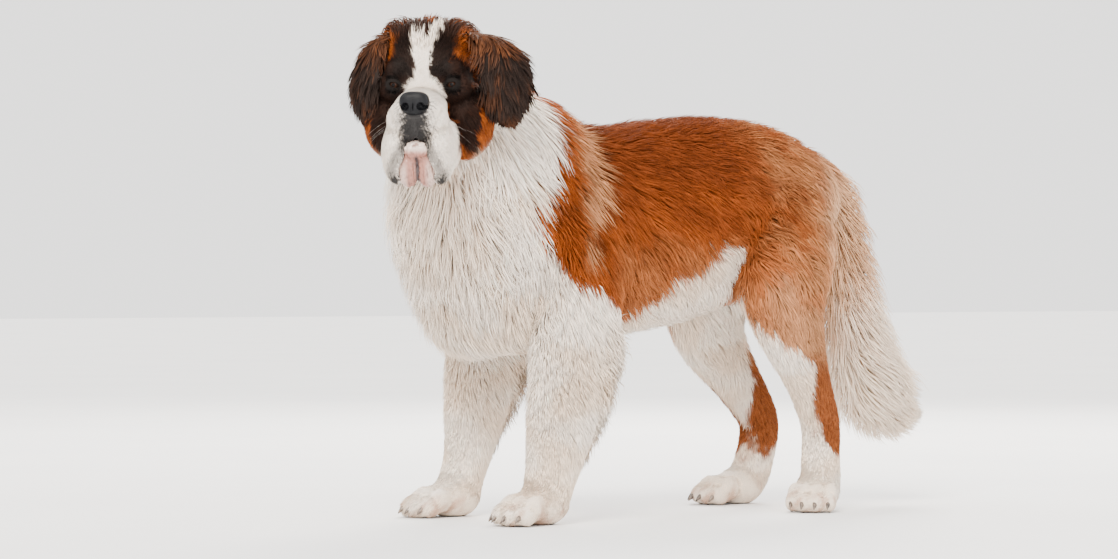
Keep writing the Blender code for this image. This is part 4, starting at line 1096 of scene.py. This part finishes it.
def scatter(mesh, parts, settings, draw):
    """Root places over the skin, as thick as each place's tufts need to cover it."""
    mesh.calc_loop_triangles()
    corners = np.empty(len(mesh.loop_triangles) * 3, np.int32)
    mesh.loop_triangles.foreach_get("vertices", corners)
    corners = corners.reshape(-1, 3)
    points = array_of(mesh, "co")
    a, b, c = (points[corners[:, k]] for k in range(3))
    cross = np.cross(b - a, c - a)
    area = np.linalg.norm(cross, axis=1) / 2
    normals = cross / (2 * area[:, None] + 1e-12)
    centre = (a + b + c) / 3
    part = parts[corners[:, 0]]
    _, size = lie_at(centre, normals, part)
    size[:, 1] *= settings.width
    wanted = area * settings.cover / (size[:, 0] * size[:, 1] * 0.6)
    wanted *= centre[:, 2] > 0.006
    total = np.cumsum(wanted)
    places = np.arange(0.5, total[-1], 1.0)
    places = places + draw.uniform(-0.4, 0.4, int(total[-1] + 0.5))
    picks = np.clip(np.searchsorted(total, places), 0, len(area) - 1)
    u, v = np.sort(draw.uniform(size=(2, len(picks))), axis=0)
    roots = a[picks] * u[:, None] + b[picks] * (v - u)[:, None] + c[picks] * (1 - v)[:, None]
    return roots, normals[picks], part[picks]


def coat_depth(points):
    """From each place on the skin, the way out to the tips of the coat."""
    outer = made["outer"]
    out = np.zeros_like(points)
    for i, point in enumerate(points):
        out[i] = outer.find_nearest(point)[0] - Vector(point)
    return out


def feathering(roots):
    """How far hair stands off behind the forelegs and on the tail."""
    x, _, z = roots.T
    foreleg = 0.026 * ease(-0.225, -0.185, x) * ease(-0.10, -0.14, x) * ease(0.40, 0.34, z)
    return foreleg + 0.016 * ease(TAIL_START, 0.485, x) * ease(0.66, 0.60, x)


def puff(roots, parts):
    """How far hair stands off over the coat's usual depth, by place."""
    x, y, z = head_points(roots).T
    crown = 0.012 * ease(0.045, 0.095, z) * ease(0.06, 0.0, x)
    cheek = 0.008 * ease(-0.045, -0.090, x) * ease(0.07, 0.10, np.abs(y))
    chest = 0.012 * ease(-0.36, -0.44, roots[:, 0])
    return (crown + cheek) * (parts == 1) + (chest + feathering(roots)) * (parts == 0)


def tuft_paths(roots, normals, ways, sizes, out, parts, draw, steps):
    """Points along each tuft, kept over the skin and wavy in shared clumps."""
    count = len(roots)
    free = (parts == 2) | ((parts == 0) & (roots[:, 0] > TAIL_START))
    skin = made["skin"]
    length = sizes[:, 0] * draw.uniform(0.65, 1.2, count)
    low = 0.25 + 0.25 * ease(0.55, 0.35, sizes[:, 2])
    height = low + (1.06 - low) * draw.uniform(size=count)
    height = height + (draw.uniform(size=count) > 0.93) * 0.25
    side = np.cross(normals, ways)
    sway = wander(roots, 0.11, 20) * 0.9 + wander(roots, 0.035, 21) * 0.7
    sway = sway + draw.normal(0, 0.55, count)
    heading = ways + side * (sway * (0.08 + 1.2 * sizes[:, 3]))[:, None]
    heading /= np.linalg.norm(heading, axis=1)[:, None]
    depth = np.linalg.norm(out, axis=1)
    lying = np.where(parts == 1, 0.16, 0.45)
    most = lying * length + np.where(length < 0.016, 0.0006, 0.004) + puff(roots, parts)
    depth = np.clip(depth + puff(roots, parts), 0.0008, most)
    path = [roots - normals * 0.0015]
    spot = roots.copy()
    face = normals.copy()
    for t, before in zip(steps[1:], steps[:-1]):
        heading -= face * (heading * face).sum(1)[:, None]
        heading /= np.linalg.norm(heading, axis=1)[:, None] + 1e-9
        spot = spot + heading * (length * (t - before))[:, None]
        fresh = spot.copy()
        for i in np.nonzero(~free)[0]:
            near, normal, _, _ = skin.find_nearest(spot[i])
            fresh[i] = near
            face[i] = normal
        heading[free, 2] -= 0.10
        rise = depth * height * (1 - (1 - t) ** 1.8)
        wave = np.sin(t * 5.5 + wander(roots, 0.06, 22) * 3) * sizes[:, 3] * length * 0.35 * t
        path.append(fresh + face * rise[:, None] + side * wave[:, None])
        gap = np.linalg.norm(fresh - spot, axis=1)
        spot = np.where((gap < 0.012)[:, None], fresh, spot)
    return path


def draw_together(path, sizes, draw, steps):
    """Bends the tufts towards their neighbours' tips, into locks."""
    roots = path[0]
    centres = draw.permutation(len(roots))[:max(1, len(roots) // TUFTS_A_LOCK)]
    tree = KDTree(len(centres))
    for index, centre in enumerate(centres):
        tree.insert(roots[centre], index)
    tree.balance()
    mine = np.array([centres[tree.find(root)[1]] for root in roots])
    pull = sizes[:, 2] * draw.uniform(0.6, 1.3, len(roots))
    gap = np.linalg.norm(roots - roots[mine], axis=1)
    pull *= gap < sizes[:, 0] * 0.8
    return [spots + (spots[mine] - spots) * (pull * t ** 1.3)[:, None]
            for spots, t in zip(path, steps)]


def limb_map(points, parts):
    """A place for each point on an unwrap of the skin: round each limb, and along it."""
    body = [([(x, 0.0, (top + bottom) / 2) for x, top, bottom, *_ in TRUNK], 0.15)]
    body += [([row[0] for row in rows], 0.06 if i > 1 else 0.14) for i, rows in enumerate(LIMBS)]
    tiles = [(0.0, 0.5, 0.5, 1.0), (0.5, 0.5, 0.75, 1.0), (0.75, 0.5, 1.0, 1.0)]
    tiles += [(0.5 + 0.1 * k, 0.2, 0.6 + 0.1 * k, 0.5) for k in range(5)]
    best = np.full(len(points), np.inf)
    uv = np.zeros((len(points), 2))
    for (line, girth), tile in zip(body, tiles):
        line = smooth_run(line, 3)
        start, step = line[:-1], np.diff(line, axis=0)
        rel = points[:, None, :] - start[None]
        t = np.clip((rel * step[None]).sum(2) / (step ** 2).sum(1)[None], 0, 1)
        foot = rel - step[None] * t[:, :, None]
        gaps = np.linalg.norm(foot, axis=2)
        pick = gaps.argmin(1)
        rows = np.arange(len(points))
        gap = gaps[rows, pick] / girth
        axis = step / np.linalg.norm(step, axis=1)[:, None]
        up = np.cross(np.array((0.0, 1.0, 0.0)), axis)
        off = foot[rows, pick]
        turn = np.arctan2((off * np.array((0.0, 1.0, 0.0))).sum(1), (off * up[pick]).sum(1))
        along = (pick + t[rows, pick]) / len(start)
        closer = gap < best
        best = np.where(closer, gap, best)
        u = tile[0] + (tile[2] - tile[0]) * (0.03 + 0.94 * (turn / math.tau + 0.5))
        v = tile[1] + (tile[3] - tile[1]) * (0.03 + 0.94 * along)
        uv[closer] = np.stack([u, v], 1)[closer]
    h = head_points(points)
    for part, (low, high) in ((1, (0.0, 0.3)), (2, (0.3, 0.5))):
        mine = parts == part
        if part == 1:
            turn = np.arctan2(h[:, 1], h[:, 0] + 0.04) / math.tau + 0.5
            rise = np.arctan2(h[:, 2] + 0.03, np.hypot(h[:, 1], h[:, 0] + 0.04)) / math.pi + 0.5
        else:
            turn = 0.25 + 0.5 * (h[:, 1] > 0) + (h[:, 0] + 0.05) * 2.0
            rise = (h[:, 2] + 0.12) / 0.26
        u = low + (high - low) * np.clip(turn, 0.02, 0.98)
        v = 0.2 + 0.3 * np.clip(rise, 0.02, 0.98)
        uv[mine] = np.stack([u, v], 1)[mine]
    return uv


def tuft_mesh(name, path, widths, colours, uv, steps):
    """Closed three-sided tufts, one for each path, as one mesh with its colours and bake map."""
    count = len(widths)
    rings = len(steps) - 1
    spread = {1: (1.0,), 2: (0.85, 0.9), 3: (0.75, 1.0, 0.65)}[rings]
    per = rings * 3 + 1
    points = np.zeros((count, per, 3))
    strands = np.zeros((count, per, 3))
    strands[:, :, 2] = (np.arange(count) * 0.618 % 1.0)[:, None]
    tones = np.zeros((count, per, 3))
    maps = np.zeros((count, per, 2))
    for r in range(rings):
        ahead = path[r + 1] - path[max(r - 1, 0)]
        ahead /= np.linalg.norm(ahead, axis=1)[:, None] + 1e-9
        up = made["up"] - ahead * (made["up"] * ahead).sum(1)[:, None]
        up /= np.linalg.norm(up, axis=1)[:, None] + 1e-9
        wide = np.cross(ahead, up)
        half = (widths * spread[r] / 2)[:, None]
        for k, (across, rise) in enumerate(((-1.0, -0.2), (0.0, 0.55), (1.0, -0.2))):
            points[:, 3 * r + k] = path[r] + wide * half * across + up * half * rise
            maps[:, 3 * r + k] = uv + BAKE_PATCH * np.array((across / 2, steps[r]))
            strands[:, 3 * r + k, :2] = (across, steps[r])
            tones[:, 3 * r + k] = colours[min(r, 2)]
    strands[:, -1, :2] = (0.0, 1.0)
    points[:, -1] = path[rings]
    tones[:, -1] = colours[3]
    maps[:, -1] = uv + np.array((0.0, BAKE_PATCH))
    points[:, :, 2] = np.maximum(points[:, :, 2], SOLE_HEIGHT)
    faces = [(2, 1, 0)]
    for r in range(rings - 1):
        for k in range(3):
            a, b = 3 * r + k, 3 * r + (k + 1) % 3
            faces += [(b + 3, a + 3, a), (b, b + 3, a)]
    tip = per - 1
    faces += [(tip - 3 + (k + 1) % 3, tip, tip - 3 + k) for k in range(3)]
    faces = np.array(faces)
    corners = (faces[None] + np.arange(count)[:, None, None] * per).reshape(-1).astype(np.int32)
    mesh = bpy.data.meshes.new(name)
    mesh.vertices.add(count * per)
    mesh.vertices.foreach_set("co", points.astype(np.float32).ravel())
    mesh.loops.add(len(corners))
    mesh.loops.foreach_set("vertex_index", corners)
    mesh.polygons.add(len(corners) // 3)
    mesh.polygons.foreach_set("loop_start", np.arange(0, len(corners), 3, dtype=np.int32))
    mesh.update(calc_edges=True)
    own = array_of(mesh, "normal").reshape(count, per, 3)
    whole = path[-1] - path[0]
    rise = (whole * made["up"]).sum(1) / np.linalg.norm(whole, axis=1)
    lying = ease(0.40, 0.12, np.abs(rise)) * ease(0.008, 0.001, feathering(path[0]))
    share = (SOFTNESS * lying)[:, None, None]
    soft = own * (1 - share) + made["up"][:, None, :] * share
    soft /= np.linalg.norm(soft, axis=2)[:, :, None] + 1e-9
    mesh.shade_smooth()
    mesh.normals_split_custom_set_from_vertices(soft.reshape(-1, 3))
    layer = mesh.uv_layers.new(name="OFBake")
    layer.data.foreach_set("uv", maps.reshape(-1, 2)[corners].astype(np.float32).ravel())
    tint(mesh, tones.reshape(-1, 3))
    layer = mesh.attributes.new("strand", "FLOAT_VECTOR", "POINT")
    layer.data.foreach_set("vector", strands.astype(np.float32).ravel())
    mesh.materials.append(hair_material())
    return new_object(name, mesh)


def hairy(roots):
    """Which places carry hair: all but the eyes, the nose and the inside of the mouth."""
    x, y, z = head_points(roots).T
    side = np.abs(y)
    eyes = np.hypot(side - EYE_APART, 1.5 * z) < np.where(x > -0.01, 0.0102, 0.0)
    off_nose = (head_points(roots) - np.array(NOSE_CENTRE)) / np.array((0.024, 0.028, 0.023))
    nose = np.linalg.norm(off_nose, axis=1) < 1.0
    mouth = (x > 0.040) & (side < 0.55 * (-0.085 - z)) & (z < -0.085) & (side < 0.030)
    return ~(eyes | nose | mouth)


def tuft_shades(colour, roots, on_ear, draw):
    """Each tuft's colour at its root, twice along it, and at its tip, with painted shade at its
    root.
    """
    pale = ease(0.20, 0.55, colour.mean(1))
    tone = colour * (1 + draw.normal(0, 1, len(roots)) * (0.13 - 0.09 * pale))[:, None]
    tone *= 1 + wander(roots, 0.02, 23)[:, None] * 0.06
    bright = tone.mean(1)[:, None]
    # Painted shade: each tuft is darker at its root, and warmer there on the white; its tip is
    # paler, far paler on the ears
    root_shade = np.where(bright > 0.35, np.array((0.97, 0.90, 0.82)), np.full(3, 0.70))
    light = np.where(bright > 0.35, 1.03, 1.15)
    light = np.where(on_ear[:, None], 2.2, light)
    return tone * root_shade, tone * (root_shade + 1) / 2, tone * (light + 1) / 2, tone * light


def build_coat(settings):
    """The whole coat in pieces, with long, middle and short tufts apart."""
    draw = np.random.RandomState(settings.seed)
    roots, normals, parts = scatter(made["bare"], made["parts"], settings, draw)
    ways, sizes = lie_at(roots, normals, parts)
    keep = hairy(roots)
    roots, normals, parts = roots[keep], normals[keep], parts[keep]
    ways, sizes = ways[keep], sizes[keep]
    out = coat_depth(roots)
    colour = markings(roots, normals, parts)
    uv = limb_map(roots, parts)
    sizes[:, 0] *= settings.length
    sizes[:, 1] *= settings.width
    pieces = []
    long, short = sizes[:, 0] > LONG_HAIR, sizes[:, 0] < SHORT_HAIR
    kinds = (("long", long, LONG_STEPS), ("middle", ~(long | short), (0.0, 0.5, 1.0)),
             ("short", short, (0.0, 1.0)))
    for kind, chosen, steps in kinds:
        index = np.nonzero(chosen)[0]
        path = tuft_paths(roots[index], normals[index], ways[index], sizes[index], out[index],
                          parts[index], draw, steps)
        path = draw_together(path, sizes[index], draw, steps)
        shades = tuft_shades(colour[index], roots[index], parts[index] == 2, draw)
        widths = sizes[index, 1] * draw.uniform(0.7, 1.3, len(index))
        most = MOST_TRIANGLES // (6 * len(steps) - 8)
        order = np.argsort(roots[index, 0], kind="stable")
        for number, begin in enumerate(range(0, len(index), most)):
            some = order[begin:begin + most]
            made["up"] = normals[index][some]
            pieces.append(tuft_mesh(f"coat_{kind}_{number}", [spots[some] for spots in path],
                                    widths[some], [shade[some] for shade in shades],
                                    uv[index][some], steps))
    return pieces


# Face and feet

def build_eye(name, side, radius):
    """An eyeball with a cornea. The angle from its gaze tells its iris and pupil apart."""
    bm = bmesh.new()
    bmesh.ops.create_uvsphere(bm, u_segments=40, v_segments=28, radius=1.0)
    bmesh.ops.rotate(bm, matrix=Matrix.Rotation(math.radians(90), 3, "Y"), verts=bm.verts)
    for vert in bm.verts:
        bulge = 0.05 * ease(0.80, 1.0, np.array([vert.co.x]))[0]
        vert.co *= radius * (1 + bulge)
    obj = mesh_object(name, bm)
    points = array_of(obj.data, "co")
    angle = np.arccos(np.clip(points[:, 0] / np.linalg.norm(points, axis=1), -1, 1))
    gaze = obj.data.attributes.new("gaze", "FLOAT", "POINT")
    gaze.data.foreach_set("value", (angle / math.pi).astype(np.float32))
    aim = Matrix.Rotation(math.radians(side * 6), 4, "Z") @ Matrix.Rotation(math.radians(4), 4, "Y")
    obj.data.transform(Matrix.Translation((-0.002, side * EYE_APART, 0.0)) @ aim)
    obj.data.transform(head_place())
    return obj


def eye_material():
    """Dark brown iris, black pupil and a wet front."""
    shader = Shader("eye")
    gaze = shader.attribute("gaze", "Fac")
    ramp = shader.ramp(gaze, ((0.0, (0.002, 0.002, 0.002)), (0.075, (0.003, 0.002, 0.002)),
                              (0.095, (0.028, 0.011, 0.006)), (0.17, (0.018, 0.007, 0.004)),
                              (0.20, (0.006, 0.003, 0.002)), (0.30, (0.050, 0.024, 0.020))))
    shader.set(Base_Color=ramp, Roughness=0.07, Specular_IOR_Level=0.10)
    return shader.material


def build_nose():
    """The nose leather: a blunt pad with two comma-shaped nostrils and a groove between."""
    bm = bmesh.new()
    bmesh.ops.create_uvsphere(bm, u_segments=64, v_segments=40, radius=1.0)
    deep, wide, high = NOSE_RADII
    for vert in bm.verts:
        x, y, z = vert.co
        taper = 1.0 - 0.22 * max(0.0, -z)
        vert.co = NOSE_CENTRE + Vector((deep * math.copysign(abs(x) ** 0.6, x),
                                        wide * taper * math.copysign(abs(y) ** 0.72, y),
                                        high * math.copysign(abs(z) ** 0.72, z)))
    nose = mesh_object("nose_leather", bm)
    for side in (1, -1):
        spot = NOSE_CENTRE + Vector((0.018, side * 0.0132, -0.0055))
        combine(nose, ball("nostril", spot, (0.014, 0.0068, 0.0070)), "DIFFERENCE")
        spot = NOSE_CENTRE + Vector((0.014, side * 0.0205, -0.0070))
        turn = Matrix.Rotation(math.radians(side * 25), 4, "X")
        combine(nose, ball("wing", spot, (0.014, 0.0080, 0.0036), turn), "DIFFERENCE")
    groove = ball("groove", NOSE_CENTRE + Vector((0.021, 0.0, -0.010)), (0.006, 0.0012, 0.0150))
    combine(nose, groove, "DIFFERENCE")
    melt(nose, NOSE_GRAIN, 3)
    nose.data.transform(head_place())
    return nose


def nose_material():
    """Damp black pebbled skin."""
    shader = Shader("nose_leather")
    cells = shader.add("ShaderNodeTexVoronoi", {"feature": "F1"},
                       {"Vector": shader.place(), "Scale": 620.0})
    pebble = Wire(shader, cells.outputs["Distance"])
    shade = shader.ramp(shader.noise(90.0), ((0.3, (0.003, 0.003, 0.004)),
                                             (0.75, (0.010, 0.0105, 0.012))))
    shader.set(Base_Color=shade, Roughness=0.40, Specular_IOR_Level=0.13,
               Normal=shader.bump(1.0 - pebble, 0.55, 0.0006))
    return shader.material


def build_lips():
    """The lower jaw with its hanging lips."""
    bm = bmesh.new()
    blobs(bm, JAW_BLOBS, 1.0)
    lips = melt(mesh_object("lower_lips", bm), LIP_GRAIN, 3)
    groove = ball("part", Vector((0.088, 0.0010, -0.162)), (0.014, 0.0016, 0.048))
    combine(lips, groove, "DIFFERENCE")
    melt(lips, LIP_GRAIN, 2)
    points, normals = array_of(lips.data, "co"), array_of(lips.data, "normal")
    _, y, z = points.T
    ridge = wander(points * (1, 1, 0.2), 0.0055, 32)
    push = 0.0006 * wander(points, 0.006, 31) - 0.0014 * ease(0.1, 1.0, ridge)
    press(lips.data, points, normals, push)
    colours = palette()
    pale = colours.white * 0.8 + colours.pink * 0.2
    tone = over(plain(colours.pink, points), pale,
                0.45 * ease(0.012, 0.024, np.abs(y)) * ease(-0.12, -0.15, z))
    tone = over(tone, pale, 0.80 * ease(-0.122, -0.108, z))
    blush = 0.7 * ease(0.3, 0.9, wander(points, 0.02, 33)) * ease(0.018, 0.010, np.abs(y))
    tone = over(tone, colours.pink * 0.55, blush)
    # Painted shade: darker pink in the pressed grooves
    crease_shade = 0.55 * ease(0.2, 1.1, ridge) * ease(-0.118, -0.130, z)
    tone = over(tone, colours.pink * 0.30, crease_shade)
    # Painted shadow: grey in the gap where the lower lips part
    parting_shade = ease(0.0045, 0.0018, np.abs(y - 0.001)) * ease(-0.120, -0.128, z)
    tone = over(tone, colours.grey, parting_shade)
    tint(lips.data, tone)
    lips.data.transform(head_place())
    return lips


def lips_material():
    """Moist bare skin, tinted by place."""
    shader = Shader("lip_skin")
    grain = shader.noise(260.0)
    shade = shader.mix(grain * 0.4, shader.attribute("tint"), (0.12, 0.03, 0.02, 1.0))
    shader.set(Base_Color=shade, Roughness=0.38, Coat_Weight=0.2, Coat_Roughness=0.2,
               Normal=shader.bump(grain, 0.35, 0.0012))
    return shader.material


def build_whiskers():
    """Thin stiff hairs on both sides of the muzzle."""
    draw = np.random.RandomState(3)
    place = head_place()
    sag = Vector((0.0, 0.0, -0.012))
    lines = []
    for side in (1, -1):
        for k in range(WHISKERS_A_SIDE):
            root = Vector((0.078 - 0.012 * k, side * 0.045, -0.062 - 0.007 * k))
            ahead = -0.35 + draw.uniform(-0.2, 0.2)
            way = Vector((ahead, side, -0.30 + draw.uniform(-0.25, 0.15))).normalized()
            length = draw.uniform(0.035, 0.060)
            near = made["skin"].find_nearest(place @ root)[0]
            way = (place.to_3x3() @ way).normalized()
            lines.append([near + way * length * t + sag * t * t for t in LONG_STEPS])
    path = [np.array(spots) for spots in zip(*lines)]
    made["up"] = plain(np.array((0.1, 0.2, 1.0)), lines)
    white = plain(np.array((0.85, 0.82, 0.78)), lines)
    uv = limb_map(path[0], np.ones(len(lines), int))
    widths = np.full(len(lines), WHISKER_WIDTH)
    return tuft_mesh("whiskers", path, widths, [white] * 4, uv, LONG_STEPS)


def build_claws(name, middle, toes_left):
    """Four blunt horn claws that bend down in front of the toes."""
    turn = Matrix.Rotation(math.radians(toes_left), 4, "Z")
    place = Matrix.Translation((*middle, 0.0)) @ turn
    ahead = place.to_3x3() @ Vector((-1.0, 0.0, 0.0))
    bm = bmesh.new()
    for across, reach in TOES:
        start = place @ Vector((-0.040 - reach, across * PAW_WIDTH / 2 * 0.90, 0.018))
        run = []
        for t in np.linspace(0.0, 1.0, 7):
            spot = start + ahead * CLAW_LENGTH * t - Vector((0.0, 0.0, CLAW_DROP)) * t * t
            radius = CLAW_RADIUS * (1 - t ** 1.8) + 0.0007
            run.append((*spot, radius * 1.15, radius * 0.85))
        loft(bm, run, sides=16)
    return mesh_object(f"claws_{name}", bm)


def claw_material():
    """Horn, dark with paler streaks."""
    shader = Shader("claw")
    shade = shader.ramp(shader.noise(160.0), ((0.35, (0.035, 0.026, 0.022)),
                                              (0.7, (0.22, 0.16, 0.12))))
    shader.set(Base_Color=shade, Roughness=0.35,
               Normal=shader.bump(shader.noise(500.0), 0.2, 0.0004))
    return shader.material


# Stage

def add_light(name, kind, spot, power, colour):
    """Adds a lamp of this kind and power at a place."""
    light = bpy.data.lights.new(name, kind)
    light.energy = power
    light.color = colour
    lamp = new_object(name, light)
    lamp.location = spot
    return lamp


def build_stage(settings):
    """A pale floor, soft lights and the camera."""
    bm = bmesh.new()
    bmesh.ops.create_grid(bm, x_segments=1, y_segments=1, size=settings.floor / 2)
    floor = mesh_object("floor", bm)
    shader = Shader("floor")
    shade = shader.ramp(shader.noise(1.5, 5.0), ((0.3, (0.80, 0.80, 0.81)),
                                                 (0.7, (0.84, 0.84, 0.84))))
    shader.set(Base_Color=shade, Roughness=0.85)
    floor.data.materials.append(shader.material)

    world = bpy.context.scene.world or bpy.data.worlds.new("World")
    bpy.context.scene.world = world
    world.use_nodes = True
    sky = world.node_tree.nodes["Background"]
    sky.inputs["Color"].default_value = (1.0, 0.985, 0.965, 1.0)
    sky.inputs["Strength"].default_value = settings.sky

    lamp = add_light("key", "SUN", (-3.2, -2.8, 4.0), settings.key, (1.0, 0.94, 0.85))
    lamp.data.angle = settings.softness
    lamp.rotation_euler = lamp.location.to_track_quat("Z", "Y").to_euler()
    lights = (("fill", (-2.0, -4.6, 1.4), settings.fill, 2.4, (1.0, 0.98, 0.95)),
              ("rim", (3.0, 3.0, 3.4), settings.rim, 2.0, (1.0, 0.95, 0.88)))
    for name, spot, power, size, colour in lights:
        lamp = add_light(name, "AREA", spot, power, colour)
        lamp.data.size = size
        aim = Vector((0.0, 0.0, 0.45)) - lamp.location
        lamp.rotation_euler = aim.to_track_quat("-Z", "Y").to_euler()

    camera = bpy.data.cameras.new("camera")
    camera.sensor_width = SENSOR_WIDTH
    camera.lens = SENSOR_WIDTH * PIXELS_PER_METRE * settings.distance / PHOTO_WIDTH
    eye = new_object("camera", camera)
    away, along = math.cos(CAMERA_TURN), math.sin(CAMERA_TURN)
    eye.location = Vector((-settings.distance * along - CAMERA_ASIDE * away,
                           -settings.distance * away + CAMERA_ASIDE * along,
                           settings.height)) + PLACE
    eye.rotation_euler = (math.radians(90), 0.0, -CAMERA_TURN)
    bpy.context.scene.camera = eye


# Operators, one for each piece or group of like pieces

class DOG_OT_skin(bpy.types.Operator):
    """Build the skin over the whole dog"""
    bl_idname = "dog.skin"
    bl_label = "Skin"

    def execute(self, context):
        skin = build_skin(context.scene.dog_skin)
        made["bare"] = skin.data.copy()
        flesh = [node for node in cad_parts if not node.startswith(("eye", "nose", "jaw"))]
        finish_piece(skin, "coat_white", *flesh)
        return {"FINISHED"}


class DOG_OT_coat(bpy.types.Operator):
    """Grow the coat over the skin"""
    bl_idname = "dog.coat"
    bl_label = "Coat"

    def execute(self, context):
        for piece in build_coat(context.scene.dog_coat):
            finish_piece(piece, "coat_white")
        finish_piece(build_whiskers(), "coat_white")
        return {"FINISHED"}


class DOG_OT_face(bpy.types.Operator):
    """Build the eyes, nose and lower lips"""
    bl_idname = "dog.face"
    bl_label = "Face"

    def execute(self, context):
        radius = context.scene.dog_skin.eye_radius
        wet = eye_material()
        for side, name in ((1, "left"), (-1, "right")):
            eye = build_eye(f"eyeball_{name}", side, radius)
            finish_piece(dress(eye, wet), "eye_glass", f"eye_{name}")
        finish_piece(dress(build_nose(), nose_material()), "nose_leather", "nose")
        finish_piece(dress(build_lips(), lips_material()), "lip_skin", "jaw")
        return {"FINISHED"}


class DOG_OT_claws(bpy.types.Operator):
    """Build the claws of all four paws"""
    bl_idname = "dog.claws"
    bl_label = "Claws"

    def execute(self, context):
        horn = claw_material()
        for paw_row in PAWS:
            claws = build_claws(*paw_row)
            finish_piece(dress(claws, horn), "coat_dark")
        return {"FINISHED"}


class DOG_OT_stage(bpy.types.Operator):
    """Build the floor, the lights and the camera"""
    bl_idname = "dog.stage"
    bl_label = "Stage"

    def execute(self, context):
        build_stage(context.scene.dog_stage)
        return {"FINISHED"}


class DOG_PT_panel(bpy.types.Panel):
    """The dog's pieces"""
    bl_idname = "DOG_PT_panel"
    bl_label = "Saint Bernard"
    bl_space_type = "VIEW_3D"
    bl_region_type = "UI"
    bl_category = "Dog"

    def draw(self, context):
        for operator in OPERATORS:
            self.layout.operator(operator.bl_idname)
        for name in SETTINGS:
            column = self.layout.column(heading=name)
            group = getattr(context.scene, name)
            for key in group.bl_rna.properties.keys():
                if key not in ("name", "rna_type"):
                    column.prop(group, key)


OPERATORS = (DOG_OT_stage, DOG_OT_skin, DOG_OT_coat, DOG_OT_face, DOG_OT_claws)
SETTINGS = {"dog_skin": SkinSettings, "dog_coat": CoatSettings, "dog_colours": CoatColours,
            "dog_stage": StageSettings}


def register():
    """Registers the classes and the scene's settings."""
    for group in (*SETTINGS.values(), *OPERATORS, DOG_PT_panel):
        bpy.utils.register_class(group)
    for name, group in SETTINGS.items():
        setattr(bpy.types.Scene, name, PointerProperty(type=group))


def unregister():
    """Takes them away again."""
    for name in SETTINGS:
        delattr(bpy.types.Scene, name)
    for group in (DOG_PT_panel, *OPERATORS, *SETTINGS.values()):
        bpy.utils.unregister_class(group)


def main():
    """Builds every piece in order."""
    register()
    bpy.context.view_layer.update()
    bpy.ops.dog.stage()
    bpy.ops.dog.skin()
    bpy.ops.dog.coat()
    bpy.ops.dog.face()
    bpy.ops.dog.claws()


if __name__ == "__main__":
    main()
